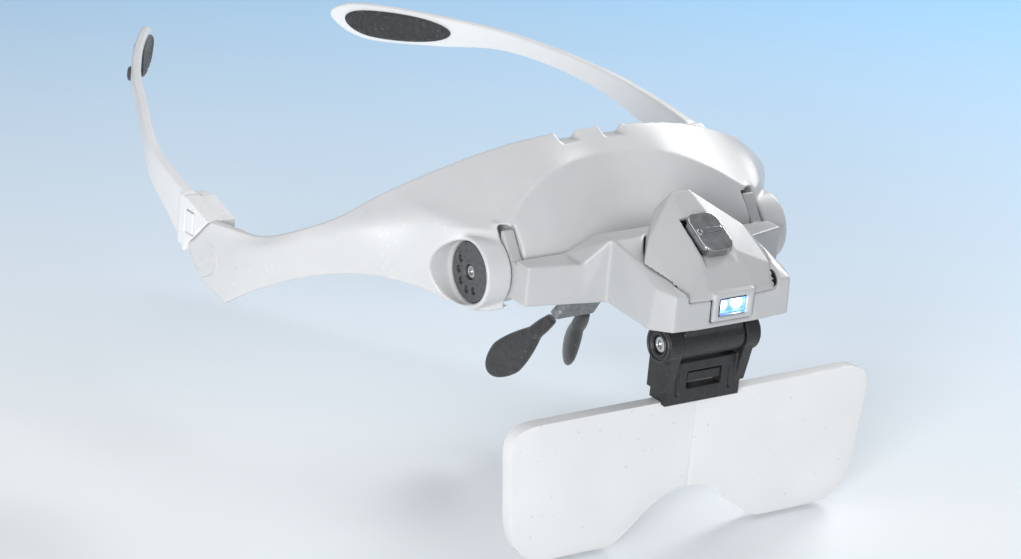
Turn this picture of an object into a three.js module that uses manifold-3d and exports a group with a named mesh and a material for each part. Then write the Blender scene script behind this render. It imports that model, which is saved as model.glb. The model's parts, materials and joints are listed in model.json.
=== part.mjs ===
// Head visor magnifier: a spectacle frame whose brow shell carries a tilting visor bar with a lamp,
// and under it a flip-down bracket that holds an exchangeable magnifier plate.
//
// Millimetres, +Z up, -Y to the front, +X to the wearer's left.
// Sizes are measured from the middle of the seat that the plate's top edge comes up against.
// The last lines move the whole to its origin, on the back of the plate.

import * as THREE from 'three';
import { mergeVertices } from 'three/addons/utils/BufferGeometryUtils.js';
import { ConvexGeometry } from 'three/addons/geometries/ConvexGeometry.js';
import Module from 'manifold-3d';

const wasm = await Module();
wasm.setup();

// ---------------------------------------------------------------- driving dimensions

const GAP = 0.3; // between a piece and the neighbour that it is cut by or slides in
const ROUND = 32; // segments of a plain round piece

// Magnifier plate
const LENS_HALF_WIDTH = 53.5;
const LENS_HEIGHT = 35.3;
const LENS_THICKNESS = 3.5;
const LENS_FRONT_Y = -0.4;
const LENS_TOP_HALF = 45;
const LENS_SIDE_X = 51.9;
const LENS_NOTCH_HEIGHT = 12;
const TAB_HALF_WIDTH = 7;
const TAB_HEIGHT = 7.5;
const TAB_FRONT_Y = 1.3;
const LENS_TOP_Z = -0.15;
const TAB_THICKNESS = 1.7;

// Lens bracket and its pivot
const LENS_PIVOT = { y: -0.4, z: 15 };
const BRACKET_HALF_WIDTH = 11;
const BRACKET_FRONT_Y = -2.2;
const BRACKET_DEPTH = 6.4;
const BRACKET_HEIGHT = 10;
const BRACKET_GROOVE_X = 7.8;
const LIP_HEIGHT = 0.6; // the front wall's overlap of the plate's top edge
const EAR_RADIUS = 4.8;
const EAR_OUTER_X = 13.5;
const EAR_INNER_X = 9.4;
const BARREL_RADIUS = 4.3;
const LENS_PIN_RADIUS = 1.4;

// Nose pads
const NOSE_PAD = {
  top: [5.5, 54.2, -1.5],
  bottom: [12.1, 67.2, -18.5],
  faces: [0.85, -0.5, 0],
  halfThickness: 2,
  halfWidth: 5.2,
};

// Visor bar, which swings about the two side discs
const VISOR_PIVOT = { y: 34.7, z: 25 };
const BAR_BOTTOM_Z = 20.3;
const BAR_TOP_Z = 30.3;
const BAR_INNER_X = 15.8;
const BAR_OUTER_X = 37.8;
const POD_WALL_SHARE = 0.11; // wall of the pod and of the cover, as a share of the way to the middle
const POD_MIDDLE = [0, 4, 27];
const WALL = 1.8;
const BOSS_RADIUS = 8.7;
const DISC_RADIUS = 7.2;
const BOSS_INNER_X = 38.2;
const BOSS_OUTER_X = 45;
const DISC = { inner: 42.4, outer: 44.4, hubEnd: 38 };
const EAR_PLATE = { inner: 34.4, outer: 37.8, radius: 8.2 };
const EAR_HORN = { y: 32, z: 35.3 };
const EAR_SWEEP = { from: 0.36 * Math.PI, to: 1.3 * Math.PI }; // directions the horn and web pass through
const BOSS_PLUG = { outer: 55, depth: 8, fromU: 0.6, toU: 0.86 };

// Lamp
const LAMP_FRONT_Y = -10;
const APEX = { y: 14.5, z: 46.7, halfWidth: 2.5 };
const SWITCH = {
  y: 2.5,
  z: 39.5,
  slope: Math.atan2(42 - 36.9, 7.1 + 2.1),
  halfWidth: 4.4,
  halfLength: 5.8,
  corner: 2.8,
  recess: { length: 2.6, floor: [-2.4, -1.3], rear: -4.2 },
};
const SWITCH_BODY = { low: [-3.4, -3.2, -5.6], high: [3.4, 4.6, -1.3] };
const CELL = { y: 3.8, radius: 9.8, height: 3.2 };
const LED_X = 2.2;
const LED_Z = 26.3;
const WINDOW = { halfWidth: 4, lowZ: 24.3, highZ: 28.2, inset: 0.15, thickness: 1.05 };
const BOARD = { low: [-7, -7.1, 23], high: [7, -6.2, 28.4] };

// The raised shoulder between a band of the bar and the pod.
const SHOULDER_POINTS = [
  [17.3, 15.8, 21], [17.3, 24, 21], [24, 17.2, 21], [24, 24, 21],
  [24.5, 17.4, BAR_TOP_Z], [24.5, 25.4, BAR_TOP_Z], [17.3, 15.8, 36.4], [17.3, 21.5, 36], [18.8, 15, 36.4],
];

// The pod's left half: bottom edge, crease along the side, and the rim that the cover sits in.
const POD_POINTS = [
  [17.5, 16, BAR_BOTTOM_Z], [19, -2.5, BAR_BOTTOM_Z], [17, -9.5, 21.7], [7, -9.5, 21.4],
  [17.8, 15.8, 30.2], [19.2, -4, 31], [17, -9.2, 30.6],
  [18.4, 14.6, 36.5], [17.8, 3.4, 34.3], [15.2, -3.6, 32.6], [17.3, 21, 36],
];

// The cover's left half: apex, flank, rim from rear to front, strip and rear.
const COVER_POINTS = [
  [APEX.halfWidth, APEX.y, APEX.z], [7, 14.7, 43], [14, 7, 39],
  [17.5, 3.4, 34.4], [15, -3.5, 32.6], [13.1, -8.9, 28.5],
  [5.6, -2.1, 36.5], [6.7, -8.9, 29.7], [5, LAMP_FRONT_Y, 28.6],
  [8.5, 15, 35], [APEX.halfWidth, 15.4, 44.6], [12, -8.4, 26],
];

// The rim as seen from the side: y and z of its corners, from rear to front.
const RIM = [[20, 34.5], [3.4, 34.4], [-3.5, 32.5], [-8.8, 28.5], [-20, 28.5]];
const COVER_LIFT = 14;
const NOSE = { halfWidth: 5.9, lowZ: 22.9, thickness: 1.3, highZ: 30 };

// Brow shell
const SHELL_THICKNESS = 2;
const NOTCH_HALF_WIDTH = 9.7;
const NOTCH_DEPTH = 2;
const NOTCH_TAB_HALF_WIDTH = 3.6;

// Temple hinge and temple
const HINGE = { x: 72.4, y: 92, low: 7.5, high: 18.6 };
const KNUCKLE_RADIUS = 2.7;
const SIDE_OUTER_X = 79.8;
const SEAM = { topY: 94.5, topZ: 21.2, lowY: 102.9, lowZ: 13.1 };
const TEMPLE_ROOT_Y = 106.2;
const TEMPLE_ROOT_TOP_Z = 24.4;
const TEMPLE_ROOT_LOW_Z = 10.4;
const KNUCKLE = { lowZ: 10.6, highZ: 15.5 };
const LUG = { x: HINGE.x + 1.2, halfWidth: 4.2, halfLength: 3, thickness: 2 };
const PAD = { middle: 0.835, halfSpan: 0.115, halfHeight: 3.9, thickness: 1.1 };

// ---------------------------------------------------------------- solid helpers

function bare(geometry) {
  const copy = geometry.clone();
  copy.deleteAttribute('normal');
  copy.deleteAttribute('uv');
  return mergeVertices(copy, 1e-4);
}

function toSolid(geometry) {
  const closed = bare(geometry);
  return new wasm.Manifold(new wasm.Mesh({
    numProp: 3,
    vertProperties: new Float32Array(closed.attributes.position.array),
    triVerts: new Uint32Array(closed.index.array),
  }));
}

function toGeometry(solid) {
  const mesh = solid.getMesh();
  const geometry = new THREE.BufferGeometry();
  geometry.setAttribute('position', new THREE.BufferAttribute(new Float32Array(mesh.vertProperties), 3));
  geometry.setIndex(new THREE.BufferAttribute(new Uint32Array(mesh.triVerts), 1));
  geometry.computeVertexNormals();
  return geometry;
}

// Joins the first list and cuts the second away from it.
function carve(joined, cuts = []) {
  let solid = toSolid(joined[0]);
  for (const piece of joined.slice(1)) {
    solid = solid.add(toSolid(piece));
  }
  for (const piece of cuts) {
    solid = solid.subtract(toSolid(piece));
  }
  return toGeometry(solid);
}

function mirrorX(geometry) {
  const copy = bare(geometry);
  copy.scale(-1, 1, 1);
  const index = copy.index.array;
  for (let i = 0; i < index.length; i += 3) {
    [index[i + 1], index[i + 2]] = [index[i + 2], index[i + 1]];
  }
  copy.computeVertexNormals();
  return copy;
}

// A block between two corners.
function block(low, high) {
  const size = high.map((value, axis) => value - low[axis]);
  const middle = high.map((value, axis) => (value + low[axis]) / 2);
  return new THREE.BoxGeometry(...size).translate(...middle);
}

// The same stretch of X on the left (side 1) or the right (side -1), lowest first.
function span(side, nearX, farX) {
  return side > 0 ? [nearX, farX] : [-farX, -nearX];
}

// A cylinder along X between two stations.
function rodX(radius, fromX, toX, y, z, segments = ROUND) {
  return new THREE.CylinderGeometry(radius, radius, toX - fromX, segments)
    .rotateZ(Math.PI / 2)
    .translate((fromX + toX) / 2, y, z);
}

// A cylinder along Z between two stations.
function rodZ(radius, x, y, fromZ, toZ, segments = ROUND) {
  return new THREE.CylinderGeometry(radius, radius, toZ - fromZ, segments)
    .rotateX(Math.PI / 2)
    .translate(x, y, (fromZ + toZ) / 2);
}

// A shape drawn in X and Z, given a depth along +Y.
function plateXZ(shape, frontY, depth, curveSegments = 10) {
  return new THREE.ExtrudeGeometry(shape, { depth, bevelEnabled: false, curveSegments })
    .rotateX(Math.PI / 2)
    .translate(0, frontY + depth, 0);
}

// A shape drawn in X and Y, given a height along +Z.
function plateXY(shape, lowZ, height, curveSegments = 10) {
  return new THREE.ExtrudeGeometry(shape, { depth: height, bevelEnabled: false, curveSegments })
    .translate(0, 0, lowZ);
}

// A shape drawn in Y and Z, given a width along +X.
function plateYZ(shape, fromX, toX, curveSegments = 10) {
  return new THREE.ExtrudeGeometry(shape, { depth: toX - fromX, bevelEnabled: false, curveSegments })
    .rotateX(Math.PI / 2)
    .rotateZ(Math.PI / 2)
    .translate(fromX, 0, 0);
}

function polygon(points) {
  return new THREE.Shape(points.map(([a, b]) => new THREE.Vector2(a, b)));
}

// A rounded rectangle with its centre at (a, b).
function roundedRectangle(a, b, halfWidth, halfHeight, radius) {
  const shape = new THREE.Shape();
  shape.moveTo(a - halfWidth + radius, b - halfHeight);
  shape.absarc(a + halfWidth - radius, b - halfHeight + radius, radius, -Math.PI / 2, 0);
  shape.absarc(a + halfWidth - radius, b + halfHeight - radius, radius, 0, Math.PI / 2);
  shape.absarc(a - halfWidth + radius, b + halfHeight - radius, radius, Math.PI / 2, Math.PI);
  shape.absarc(a - halfWidth + radius, b - halfHeight + radius, radius, Math.PI, 1.5 * Math.PI);
  return shape;
}

// A block of cells bent into shape: place(u, v, w) gives the point for fractions of each side.
function bentBlock(cellsU, cellsV, cellsW, place) {
  const geometry = new THREE.BoxGeometry(1, 1, 1, cellsU, cellsV, cellsW);
  const position = geometry.attributes.position;
  for (let i = 0; i < position.count; i += 1) {
    const point = place(position.getX(i) + 0.5, position.getY(i) + 0.5, position.getZ(i) + 0.5);
    position.setXYZ(i, point.x, point.y, point.z);
  }
  return bare(geometry);
}

// ---------------------------------------------------------------- materials

function finish(color, roughness, metalness = 0, extra = {}) {
  return new THREE.MeshStandardMaterial({ color, roughness, metalness, ...extra });
}

const frontPlastic = finish(0xcfd0d2, 0.4);
const sidePlastic = finish(0xe6e7e8, 0.35);
const blackPlastic = finish(0x2b2c2e, 0.6);
const noseBracketPlastic = finish(0x8c8c88, 0.7);
const rubber = finish(0x3a3b3d, 0.8);
const clearPlastic = finish(0xdfe3e6, 0.05, 0, { transparent: true, opacity: 0.5 });
const steel = finish(0xb9bcc0, 0.3, 1);
const darkChrome = finish(0x4a4c50, 0.2, 0.9);
const circuitGreen = finish(0x2f6b45, 0.6);
const ledGlass = finish(0xdfeaff, 0.1);
const cellSteel = finish(0xc4c6c8, 0.25, 1);

const assembly = new THREE.Group();

function addPiece(name, geometry, material) {
  const mesh = new THREE.Mesh(geometry, material);
  mesh.name = name;
  assembly.add(mesh);
}

// The same piece on the wearer's left (+X) and, mirrored, on the right.
function addPair(name, geometry, material) {
  addPiece(`${name}_left`, geometry, material);
  addPiece(`${name}_right`, mirrorX(geometry), material);
}

// ---------------------------------------------------------------- brow shell with its side arms

// Each station of the left half lists four points of the outer skin, from the bottom edge up:
// bottom edge, middle, crease of the front recess, top edge.
const SHELL_STATIONS = [
  [[0, 26.5, 17.5], [0, 30.5, 30], [0, 45.5, 45.6], [0, 52.7, 50]],
  [[17, 26, 17.5], [17, 28, 30], [16.8, 41.4, 45], [18, 52.4, 49.4]],
  [[27, 26, 17.5], [27.5, 27.2, 30], [27.5, 37.2, 41.4], [30, 53, 47.4]],
  [[35, 27, 17.5], [36, 28.3, 29.5], [37.5, 33.2, 36], [42, 55, 43.7]],
  [[44, 31, 16.4], [45, 33.5, 24], [44.8, 38, 35], [51, 57.5, 39.8]],
  [[51.5, 46, 18.2], [52.8, 46, 25.5], [54, 49.5, 33.5], [56.5, 60, 36.5]],
  [[59, 54.5, 18.9], [60.5, 55, 24], [62.3, 58, 30], [63.2, 63, 32]],
  [[66.5, 66.2, 15.6], [67.8, 66.5, 19.5], [69.2, 68, 24.5], [69, 69.5, 27.2]],
  [[73.5, 80.3, 8], [74.4, 79.8, 13.5], [75, 80.3, 19], [73.6, 81, 22]],
  [[77.4, 89, 2], [79.4, 97.5, 6], [80, SEAM.lowY, SEAM.lowZ], [SIDE_OUTER_X, SEAM.topY, SEAM.topZ]],
];
const SHELL_ROWS = 4;

const shellRails = [];
for (let row = 0; row < SHELL_ROWS; row += 1) {
  const leftHalf = SHELL_STATIONS.map((station) => new THREE.Vector3(...station[row]));
  const rightHalf = leftHalf.slice(1).reverse().map((point) => new THREE.Vector3(-point.x, point.y, point.z));
  shellRails.push(new THREE.CatmullRomCurve3([...rightHalf, ...leftHalf]));
}

function shellSkin(u, v) {
  const section = new THREE.CatmullRomCurve3(shellRails.map((rail) => rail.getPoint(u)));
  return section.getPoint(v);
}

function shellNormal(u, v) {
  const step = 0.004;
  const along = shellSkin(Math.min(u + step, 1), v).sub(shellSkin(Math.max(u - step, 0), v));
  const up = shellSkin(u, Math.min(v + step, 1)).sub(shellSkin(u, Math.max(v - step, 0)));
  return along.cross(up).normalize();
}

function browShell() {
  const skin = bentBlock(54, 9, 1, (u, v, w) => {
    const inward = shellNormal(u, v).multiplyScalar(-SHELL_THICKNESS * (1 - w));
    return shellSkin(u, v).add(inward);
  });
  const plug = bossPlug();
  const joined = [skin];
  const cuts = [];
  for (const side of [1, -1]) {
    joined.push(rodX(BOSS_RADIUS, ...span(side, BOSS_INNER_X, BOSS_OUTER_X), VISOR_PIVOT.y, VISOR_PIVOT.z));
    joined.push(side > 0 ? plug : mirrorX(plug));
    cuts.push(...pivotCuts(side), ...hingeCuts(side));
    joined.push(...hingeForks(side));
  }
  cuts.push(
    block([-NOTCH_HALF_WIDTH, 45, 50 - NOTCH_DEPTH], [-NOTCH_TAB_HALF_WIDTH, 60, 60]),
    block([NOTCH_TAB_HALF_WIDTH, 45, 50 - NOTCH_DEPTH], [NOTCH_HALF_WIDTH, 60, 60]),
  );
  return carve(joined, cuts);
}

// The wall of the disc's recess where the arm's skin stands further out than the boss.
function bossPlug() {
  const { outer, depth, fromU, toU } = BOSS_PLUG;
  const deepSkin = bentBlock(14, 9, 1, (share, v, w) => {
    const u = THREE.MathUtils.lerp(fromU, toU, share);
    return shellSkin(u, v).add(shellNormal(u, v).multiplyScalar(-0.2 - (depth - 0.2) * (1 - w)));
  });
  const core = rodX(BOSS_RADIUS + 0.6, BOSS_INNER_X, outer, VISOR_PIVOT.y, VISOR_PIVOT.z);
  return toGeometry(toSolid(deepSkin).intersect(toSolid(core)));
}

// Room for the visor bar's ear plate, the disc and its hub at one side of the shell.
function pivotCuts(side) {
  const { y, z } = VISOR_PIVOT;
  const hornReach = Math.hypot(EAR_HORN.y - y, EAR_HORN.z - z);
  const slot = span(side, EAR_PLATE.inner - 0.5, EAR_PLATE.outer + 0.4);
  const sweep = new THREE.Shape();
  sweep.moveTo(y, z);
  sweep.absarc(y, z, hornReach + 0.6, EAR_SWEEP.from, EAR_SWEEP.to);
  return [
    rodX(EAR_PLATE.radius + 0.5, ...slot, y, z),
    plateYZ(sweep, ...slot, 24),
    rodX(DISC_RADIUS + GAP, ...span(side, DISC.inner - GAP, 60), y, z),
    rodX(3.3, ...span(side, 30, 60), y, z),
  ];
}

// Two lugs on the shell's inner face that hold the temple's hinge pin.
function hingeForks(side) {
  const lug = roundedRectangle(LUG.x, HINGE.y, LUG.halfWidth, LUG.halfLength, LUG.halfLength - 0.1);
  return [HINGE.low + 0.5, HINGE.high - 2.5].map((lowZ) => {
    const geometry = plateXY(lug, lowZ, LUG.thickness);
    return side > 0 ? geometry : mirrorX(geometry);
  });
}

// The pin's bore, and everything on the adapter's side of the slanting seam.
function hingeCuts(side) {
  const beyondSeam = polygon([
    [SEAM.topY, SEAM.topZ], [SEAM.topY, 30], [112, 30], [112, SEAM.lowZ - 4],
    [SEAM.lowY + 1.5, SEAM.lowZ - 4], [SEAM.lowY, SEAM.lowZ],
  ].reverse());
  return [
    rodZ(1.3, side * HINGE.x, HINGE.y, 0, 30, 20),
    plateYZ(beyondSeam, ...span(side, 70, 90)),
  ];
}

addPiece('frame_shell', browShell(), frontPlastic);

// ---------------------------------------------------------------- nose bracket and pads

function noseBracket() {
  const spine = new THREE.CatmullRomCurve3([
    new THREE.Vector3(0, 29, 14.9), new THREE.Vector3(0, 38, 12.6),
    new THREE.Vector3(0, 46.5, 7.5), new THREE.Vector3(0, 50.5, 2),
  ]);
  const tongueShape = roundedRectangle(0, 0, 6, 1, 0.6);
  const tongue = new THREE.ExtrudeGeometry(tongueShape, {
    steps: 14, curveSegments: 4, bevelEnabled: false, extrudePath: spine,
  });
  const arms = [1, -1].map((side) => {
    const path = new THREE.CatmullRomCurve3([
      new THREE.Vector3(side * 2.6, 49, 5.6), new THREE.Vector3(side * 4, 50.4, 3.8),
      new THREE.Vector3(side * 4.8, 51.4, 1.9),
    ]);
    const wire = new THREE.Shape().absarc(0, 0, 1.5, 0, 2 * Math.PI);
    return new THREE.ExtrudeGeometry(wire, {
      steps: 6, curveSegments: 5, bevelEnabled: false, extrudePath: path,
    });
  });
  const seat = block([-6, 27.2, 13.9], [6, 32, 16.5]);
  return carve([tongue, seat, ...arms]);
}

// A flattened drop whose face looks inwards and forwards.
function nosePad() {
  const top = new THREE.Vector3(...NOSE_PAD.top);
  const bottom = new THREE.Vector3(...NOSE_PAD.bottom);
  const length = bottom.clone().sub(top);
  const middle = top.clone().add(bottom).multiplyScalar(0.5);
  const along = length.clone().normalize();
  const face = new THREE.Vector3(...NOSE_PAD.faces).projectOnPlane(along).normalize();
  const across = face.clone().cross(along);
  const pad = new THREE.SphereGeometry(1, 20, 14);
  pad.scale(NOSE_PAD.halfThickness, NOSE_PAD.halfWidth, length.length() / 2);
  pad.applyMatrix4(new THREE.Matrix4().makeBasis(face, across.negate(), along.negate()));
  return pad.translate(middle.x, middle.y, middle.z);
}

addPiece('nose_bracket', noseBracket(), noseBracketPlastic);
addPair('nose_pad', flipIfInsideOut(bare(nosePad())), rubber);

// ---------------------------------------------------------------- visor bar

// The band between the pod and one side pivot.
function barBand() {
  return bentBlock(6, 2, 1, (u, v, w) => {
    const x = THREE.MathUtils.lerp(BAR_INNER_X, BAR_OUTER_X, u);
    const z = THREE.MathUtils.lerp(BAR_BOTTOM_Z, BAR_TOP_Z, v);
    const frontY = THREE.MathUtils.lerp(15.2, 20.5, u);
    const rearY = THREE.MathUtils.lerp(24.4, 25.6, v);
    return new THREE.Vector3(x, THREE.MathUtils.lerp(rearY, frontY, w), z);
  });
}

// The raised shoulder where a band meets the side of the lamp.
function barShoulder() {
  return new ConvexGeometry(SHOULDER_POINTS.map((corner) => new THREE.Vector3(...corner)));
}

// A round plate behind the shell with a horn on top, reached by a web from the end of the band.
function barEar() {
  const { y, z } = VISOR_PIVOT;
  const horn = polygon([
    [y - EAR_PLATE.radius + 0.6, z + 3], [y - 2, z + 5],
    [EAR_HORN.y + 1, EAR_HORN.z], [EAR_HORN.y, EAR_HORN.z],
  ].reverse());
  const web = block([EAR_PLATE.inner, 22, BAR_BOTTOM_Z], [EAR_PLATE.outer, y, BAR_TOP_Z - 1]);
  return [
    rodX(EAR_PLATE.radius, EAR_PLATE.inner, EAR_PLATE.outer, y, z),
    plateYZ(horn, EAR_PLATE.inner, EAR_PLATE.outer),
    web,
  ];
}

// The smallest convex body round the points and their mirror images, drawn in by a share towards the middle.
function mirroredHull(points, share) {
  const middle = new THREE.Vector3(...POD_MIDDLE);
  const corners = [];
  for (const [x, y, z] of points) {
    for (const side of [1, -1]) {
      corners.push(new THREE.Vector3(side * x, y, z).lerp(middle, share));
    }
  }
  return new ConvexGeometry(corners);
}

function visorBar() {
  const pod = mirroredHull(POD_POINTS, 0);
  const inside = mirroredHull(POD_POINTS, POD_WALL_SHARE);
  const floorCut = block([-30, -30, 0], [30, 40, BAR_BOTTOM_Z + WALL]);
  const hollow = toGeometry(toSolid(inside).subtract(toSolid(floorCut)));
  const joined = [toGeometry(toSolid(pod).subtract(toSolid(hollow)))];
  const cuts = [coverRoom()];
  for (const piece of [flipIfInsideOut(barBand()), barShoulder(), ...barEar()]) {
    joined.push(piece, mirrorX(piece));
  }
  const hubBore = rodX(2.3, 30, 45, VISOR_PIVOT.y, VISOR_PIVOT.z);
  cuts.push(hubBore, mirrorX(hubBore));
  return carve(joined, cuts);
}

function flipIfInsideOut(geometry) {
  return signedVolume(geometry) < 0 ? turnedInsideOut(geometry) : geometry;
}

function signedVolume(geometry) {
  const position = geometry.attributes.position;
  const index = geometry.index.array;
  const a = new THREE.Vector3();
  const b = new THREE.Vector3();
  const c = new THREE.Vector3();
  let volume = 0;
  for (let i = 0; i < index.length; i += 3) {
    a.fromBufferAttribute(position, index[i]);
    b.fromBufferAttribute(position, index[i + 1]);
    c.fromBufferAttribute(position, index[i + 2]);
    volume += a.dot(b.cross(c)) / 6;
  }
  return volume;
}

function turnedInsideOut(geometry) {
  const copy = geometry.clone();
  const index = copy.index.array;
  for (let i = 0; i < index.length; i += 3) {
    [index[i + 1], index[i + 2]] = [index[i + 2], index[i + 1]];
  }
  return copy;
}

addPiece('visor_bar', visorBar(), frontPlastic);

// Disc with a centre bore and a fan of small holes, on a hub that is keyed into the bar's ear plate.
function pivotDisc() {
  const { y, z } = VISOR_PIVOT;
  const joined = [
    rodX(DISC_RADIUS, DISC.inner, DISC.outer, y, z),
    rodX(3, DISC.hubEnd, DISC.inner + 0.1, y, z),
    rodX(2.1, EAR_PLATE.inner, DISC.hubEnd + 0.1, y, z, 24),
  ];
  const cuts = [rodX(1.9, DISC.outer - 1.5, DISC.outer + 1, y, z, 24)];
  const holeCount = 5;
  const holeCircle = 4.6;
  for (let i = 0; i < holeCount; i += 1) {
    const angle = Math.PI * (0.15 - 0.2 * i);
    const holeY = y + holeCircle * Math.cos(angle);
    const holeZ = z + holeCircle * Math.sin(angle);
    cuts.push(rodX(0.95, DISC.outer - 1.2, DISC.outer + 1, holeY, holeZ, 12));
  }
  return carve(joined, cuts);
}

addPair('visor_pivot_disc', pivotDisc(), blackPlastic);
addPair('visor_pivot_screw', bare(rodX(
  1.6, DISC.outer - 1.45, DISC.outer - 0.4, VISOR_PIVOT.y, VISOR_PIVOT.z, 20,
)), steel);

// ---------------------------------------------------------------- lamp

function belowRim(drop) {
  const profile = RIM.map(([y, z]) => [y, z - drop]);
  return plateYZ(polygon([...profile, [-20, 0], [20, 0]].reverse()), -30, 30);
}

// What the pod gives up for the cover: the path of its body and nose as it lifts off, a gap larger all round,
// and a throat that joins the two hollows.
function coverRoom() {
  const lifted = COVER_POINTS.map(([x, y, z]) => [x, y, z + COVER_LIFT]);
  const path = mirroredHull([...COVER_POINTS, ...lifted], -GAP / 15);
  const body = toSolid(path).subtract(toSolid(belowRim(GAP)));
  const noseReach = NOSE.halfWidth + GAP;
  const nose = toSolid(block([-noseReach, -20, NOSE.lowZ - GAP], [noseReach, -7.4, 40]));
  const throat = toSolid(mirroredHull(COVER_POINTS, 0.2));
  return toGeometry(body.add(nose).add(throat));
}

function onCoverSlope(geometry) {
  return geometry.rotateX(SWITCH.slope).translate(0, SWITCH.y, SWITCH.z);
}

function lampCover() {
  const { halfWidth, lowZ, thickness, highZ } = NOSE;
  const outside = toSolid(mirroredHull(COVER_POINTS, 0)).subtract(toSolid(belowRim(0)));
  const hollow = toSolid(mirroredHull(COVER_POINTS, POD_WALL_SHARE));
  const nose = toSolid(block([-halfWidth, LAMP_FRONT_Y, lowZ], [halfWidth, LAMP_FRONT_Y + thickness, highZ]));
  const windowCut = toSolid(block(
    [-WINDOW.halfWidth - GAP, -12, WINDOW.lowZ - GAP], [WINDOW.halfWidth + GAP, -5, WINDOW.highZ + GAP],
  ));
  const { halfWidth: switchX, halfLength, recess } = SWITCH;
  const [floorLow, floorHigh] = recess.floor;
  const switchCut = toSolid(onCoverSlope(block(
    [-switchX - GAP, -halfLength - recess.length, -4], [switchX + GAP, halfLength + GAP, 6],
  )));
  const recessFloor = toSolid(onCoverSlope(block(
    [-switchX - 0.8, -halfLength - recess.length - 0.6, floorLow], [switchX + 0.8, recess.rear, floorHigh],
  )));
  const shell = outside.subtract(hollow).add(nose).subtract(windowCut).subtract(switchCut);
  return toGeometry(shell.add(recessFloor.intersect(outside)));
}

addPiece('lamp_cover', lampCover(), frontPlastic);

function switchButton() {
  const cap = plateXY(roundedRectangle(0, 0, SWITCH.halfWidth, SWITCH.halfLength, SWITCH.corner), -1, 2.6, 6);
  const ridge = block([-3.2, -0.7, 1.6], [3.2, 0.7, 2.3]);
  return carve([onCoverSlope(cap), onCoverSlope(ridge)]);
}

addPiece('switch_button', switchButton(), darkChrome);
addPiece('switch_body', bare(onCoverSlope(block(SWITCH_BODY.low, SWITCH_BODY.high))), blackPlastic);

function lampWindow() {
  const { halfWidth, lowZ, highZ, inset, thickness } = WINDOW;
  const frontY = LAMP_FRONT_Y + inset;
  return bare(block([-halfWidth, frontY, lowZ], [halfWidth, frontY + thickness, highZ]));
}

addPiece('lamp_window', lampWindow(), clearPlastic);

function led(x) {
  const profile = [[0, 0], [1.6, 0], [1.6, 0.6]];
  const domeSteps = 4;
  for (let i = 0; i <= domeSteps; i += 1) {
    const angle = (Math.PI / 2) * (i / domeSteps);
    profile.push([1.4 * Math.cos(angle), 0.7 + 0.8 * Math.sin(angle)]);
  }
  profile[profile.length - 1][0] = 0;
  const points = profile.map(([radius, height]) => new THREE.Vector2(radius, height));
  return new THREE.LatheGeometry(points, 16).rotateX(Math.PI).translate(x, LAMP_FRONT_Y + 2.85, LED_Z);
}

addPiece('led_left', bare(led(LED_X)), ledGlass);
addPiece('led_right', bare(led(-LED_X)), ledGlass);
addPiece('lamp_circuit_board', bare(block(BOARD.low, BOARD.high)), circuitGreen);

const CELL_LOW_Z = BAR_BOTTOM_Z + WALL + 0.4;

function coinCell(lowZ) {
  return bare(rodZ(CELL.radius, 0, CELL.y, lowZ, lowZ + CELL.height - 0.1, 40));
}

addPiece('coin_cell_lower', coinCell(CELL_LOW_Z), cellSteel);
addPiece('coin_cell_upper', coinCell(CELL_LOW_Z + CELL.height), cellSteel);
addPair('battery_contact', bare(block([12, -2, CELL_LOW_Z], [12.4, 8, 28])), steel);

// ---------------------------------------------------------------- bracket under the visor bar

function hingeBlock() {
  const { y, z } = LENS_PIVOT;
  const barrelEnd = EAR_INNER_X - GAP;
  const neck = block([-8.6, y - 3.6, z], [8.6, y + 3.6, BAR_BOTTOM_Z - 0.05]);
  const pinBore = rodX(LENS_PIN_RADIUS + 0.1, -10, 10, y, z, 20);
  return carve([rodX(BARREL_RADIUS, -barrelEnd, barrelEnd, y, z), neck], [pinBore]);
}

function lensBracket() {
  const { y, z } = LENS_PIVOT;
  const rearY = BRACKET_FRONT_Y + BRACKET_DEPTH;
  const body = block(
    [-BRACKET_HALF_WIDTH, BRACKET_FRONT_Y, -LIP_HEIGHT], [BRACKET_HALF_WIDTH, rearY, BRACKET_HEIGHT],
  );
  const joined = [body];
  for (const side of [1, -1]) {
    const near = Math.min(side * EAR_INNER_X, side * EAR_OUTER_X);
    const far = Math.max(side * EAR_INNER_X, side * EAR_OUTER_X);
    joined.push(rodX(EAR_RADIUS, near, far, y, z));
    const stem = new THREE.Shape();
    stem.moveTo(BRACKET_FRONT_Y, 3);
    stem.lineTo(rearY, 3);
    stem.lineTo(y + EAR_RADIUS - 0.1, z);
    stem.lineTo(y - EAR_RADIUS + 0.1, z);
    joined.push(plateYZ(stem, near + (side > 0 ? 0 : 1.3), far - (side > 0 ? 1.3 : 0)));
  }
  const barrelRoom = rodX(BARREL_RADIUS + 0.5, -EAR_INNER_X, EAR_INNER_X, y, z);
  const slot = block(
    [-TAB_HALF_WIDTH - GAP, TAB_FRONT_Y - GAP, -1],
    [TAB_HALF_WIDTH + GAP, TAB_FRONT_Y + TAB_THICKNESS + GAP, TAB_HEIGHT + GAP],
  );
  const window = block([-5.2, BRACKET_FRONT_Y - 1, 3.2], [5.2, TAB_FRONT_Y, TAB_HEIGHT]);
  const roomReach = BRACKET_HALF_WIDTH + 1;
  const lensRoom = block([-roomReach, LENS_FRONT_Y - 0.1, -2], [roomReach, rearY + 1, 0]);
  const slots = [-BRACKET_GROOVE_X, BRACKET_GROOVE_X].map((x) => block(
    [x - 0.5, BRACKET_FRONT_Y - 1, 1.6], [x + 0.5, BRACKET_FRONT_Y + 0.6, 7.1],
  ));
  return carve(joined, [
    barrelRoom, slot, window, ...slots, lensRoom, rodX(LENS_PIN_RADIUS + 0.1, -12.2, 12.2, y, z, 20),
    rodX(2.3, 12.2, 15, y, z, 20), rodX(2.3, -15, -12.2, y, z, 20),
  ]);
}

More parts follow.
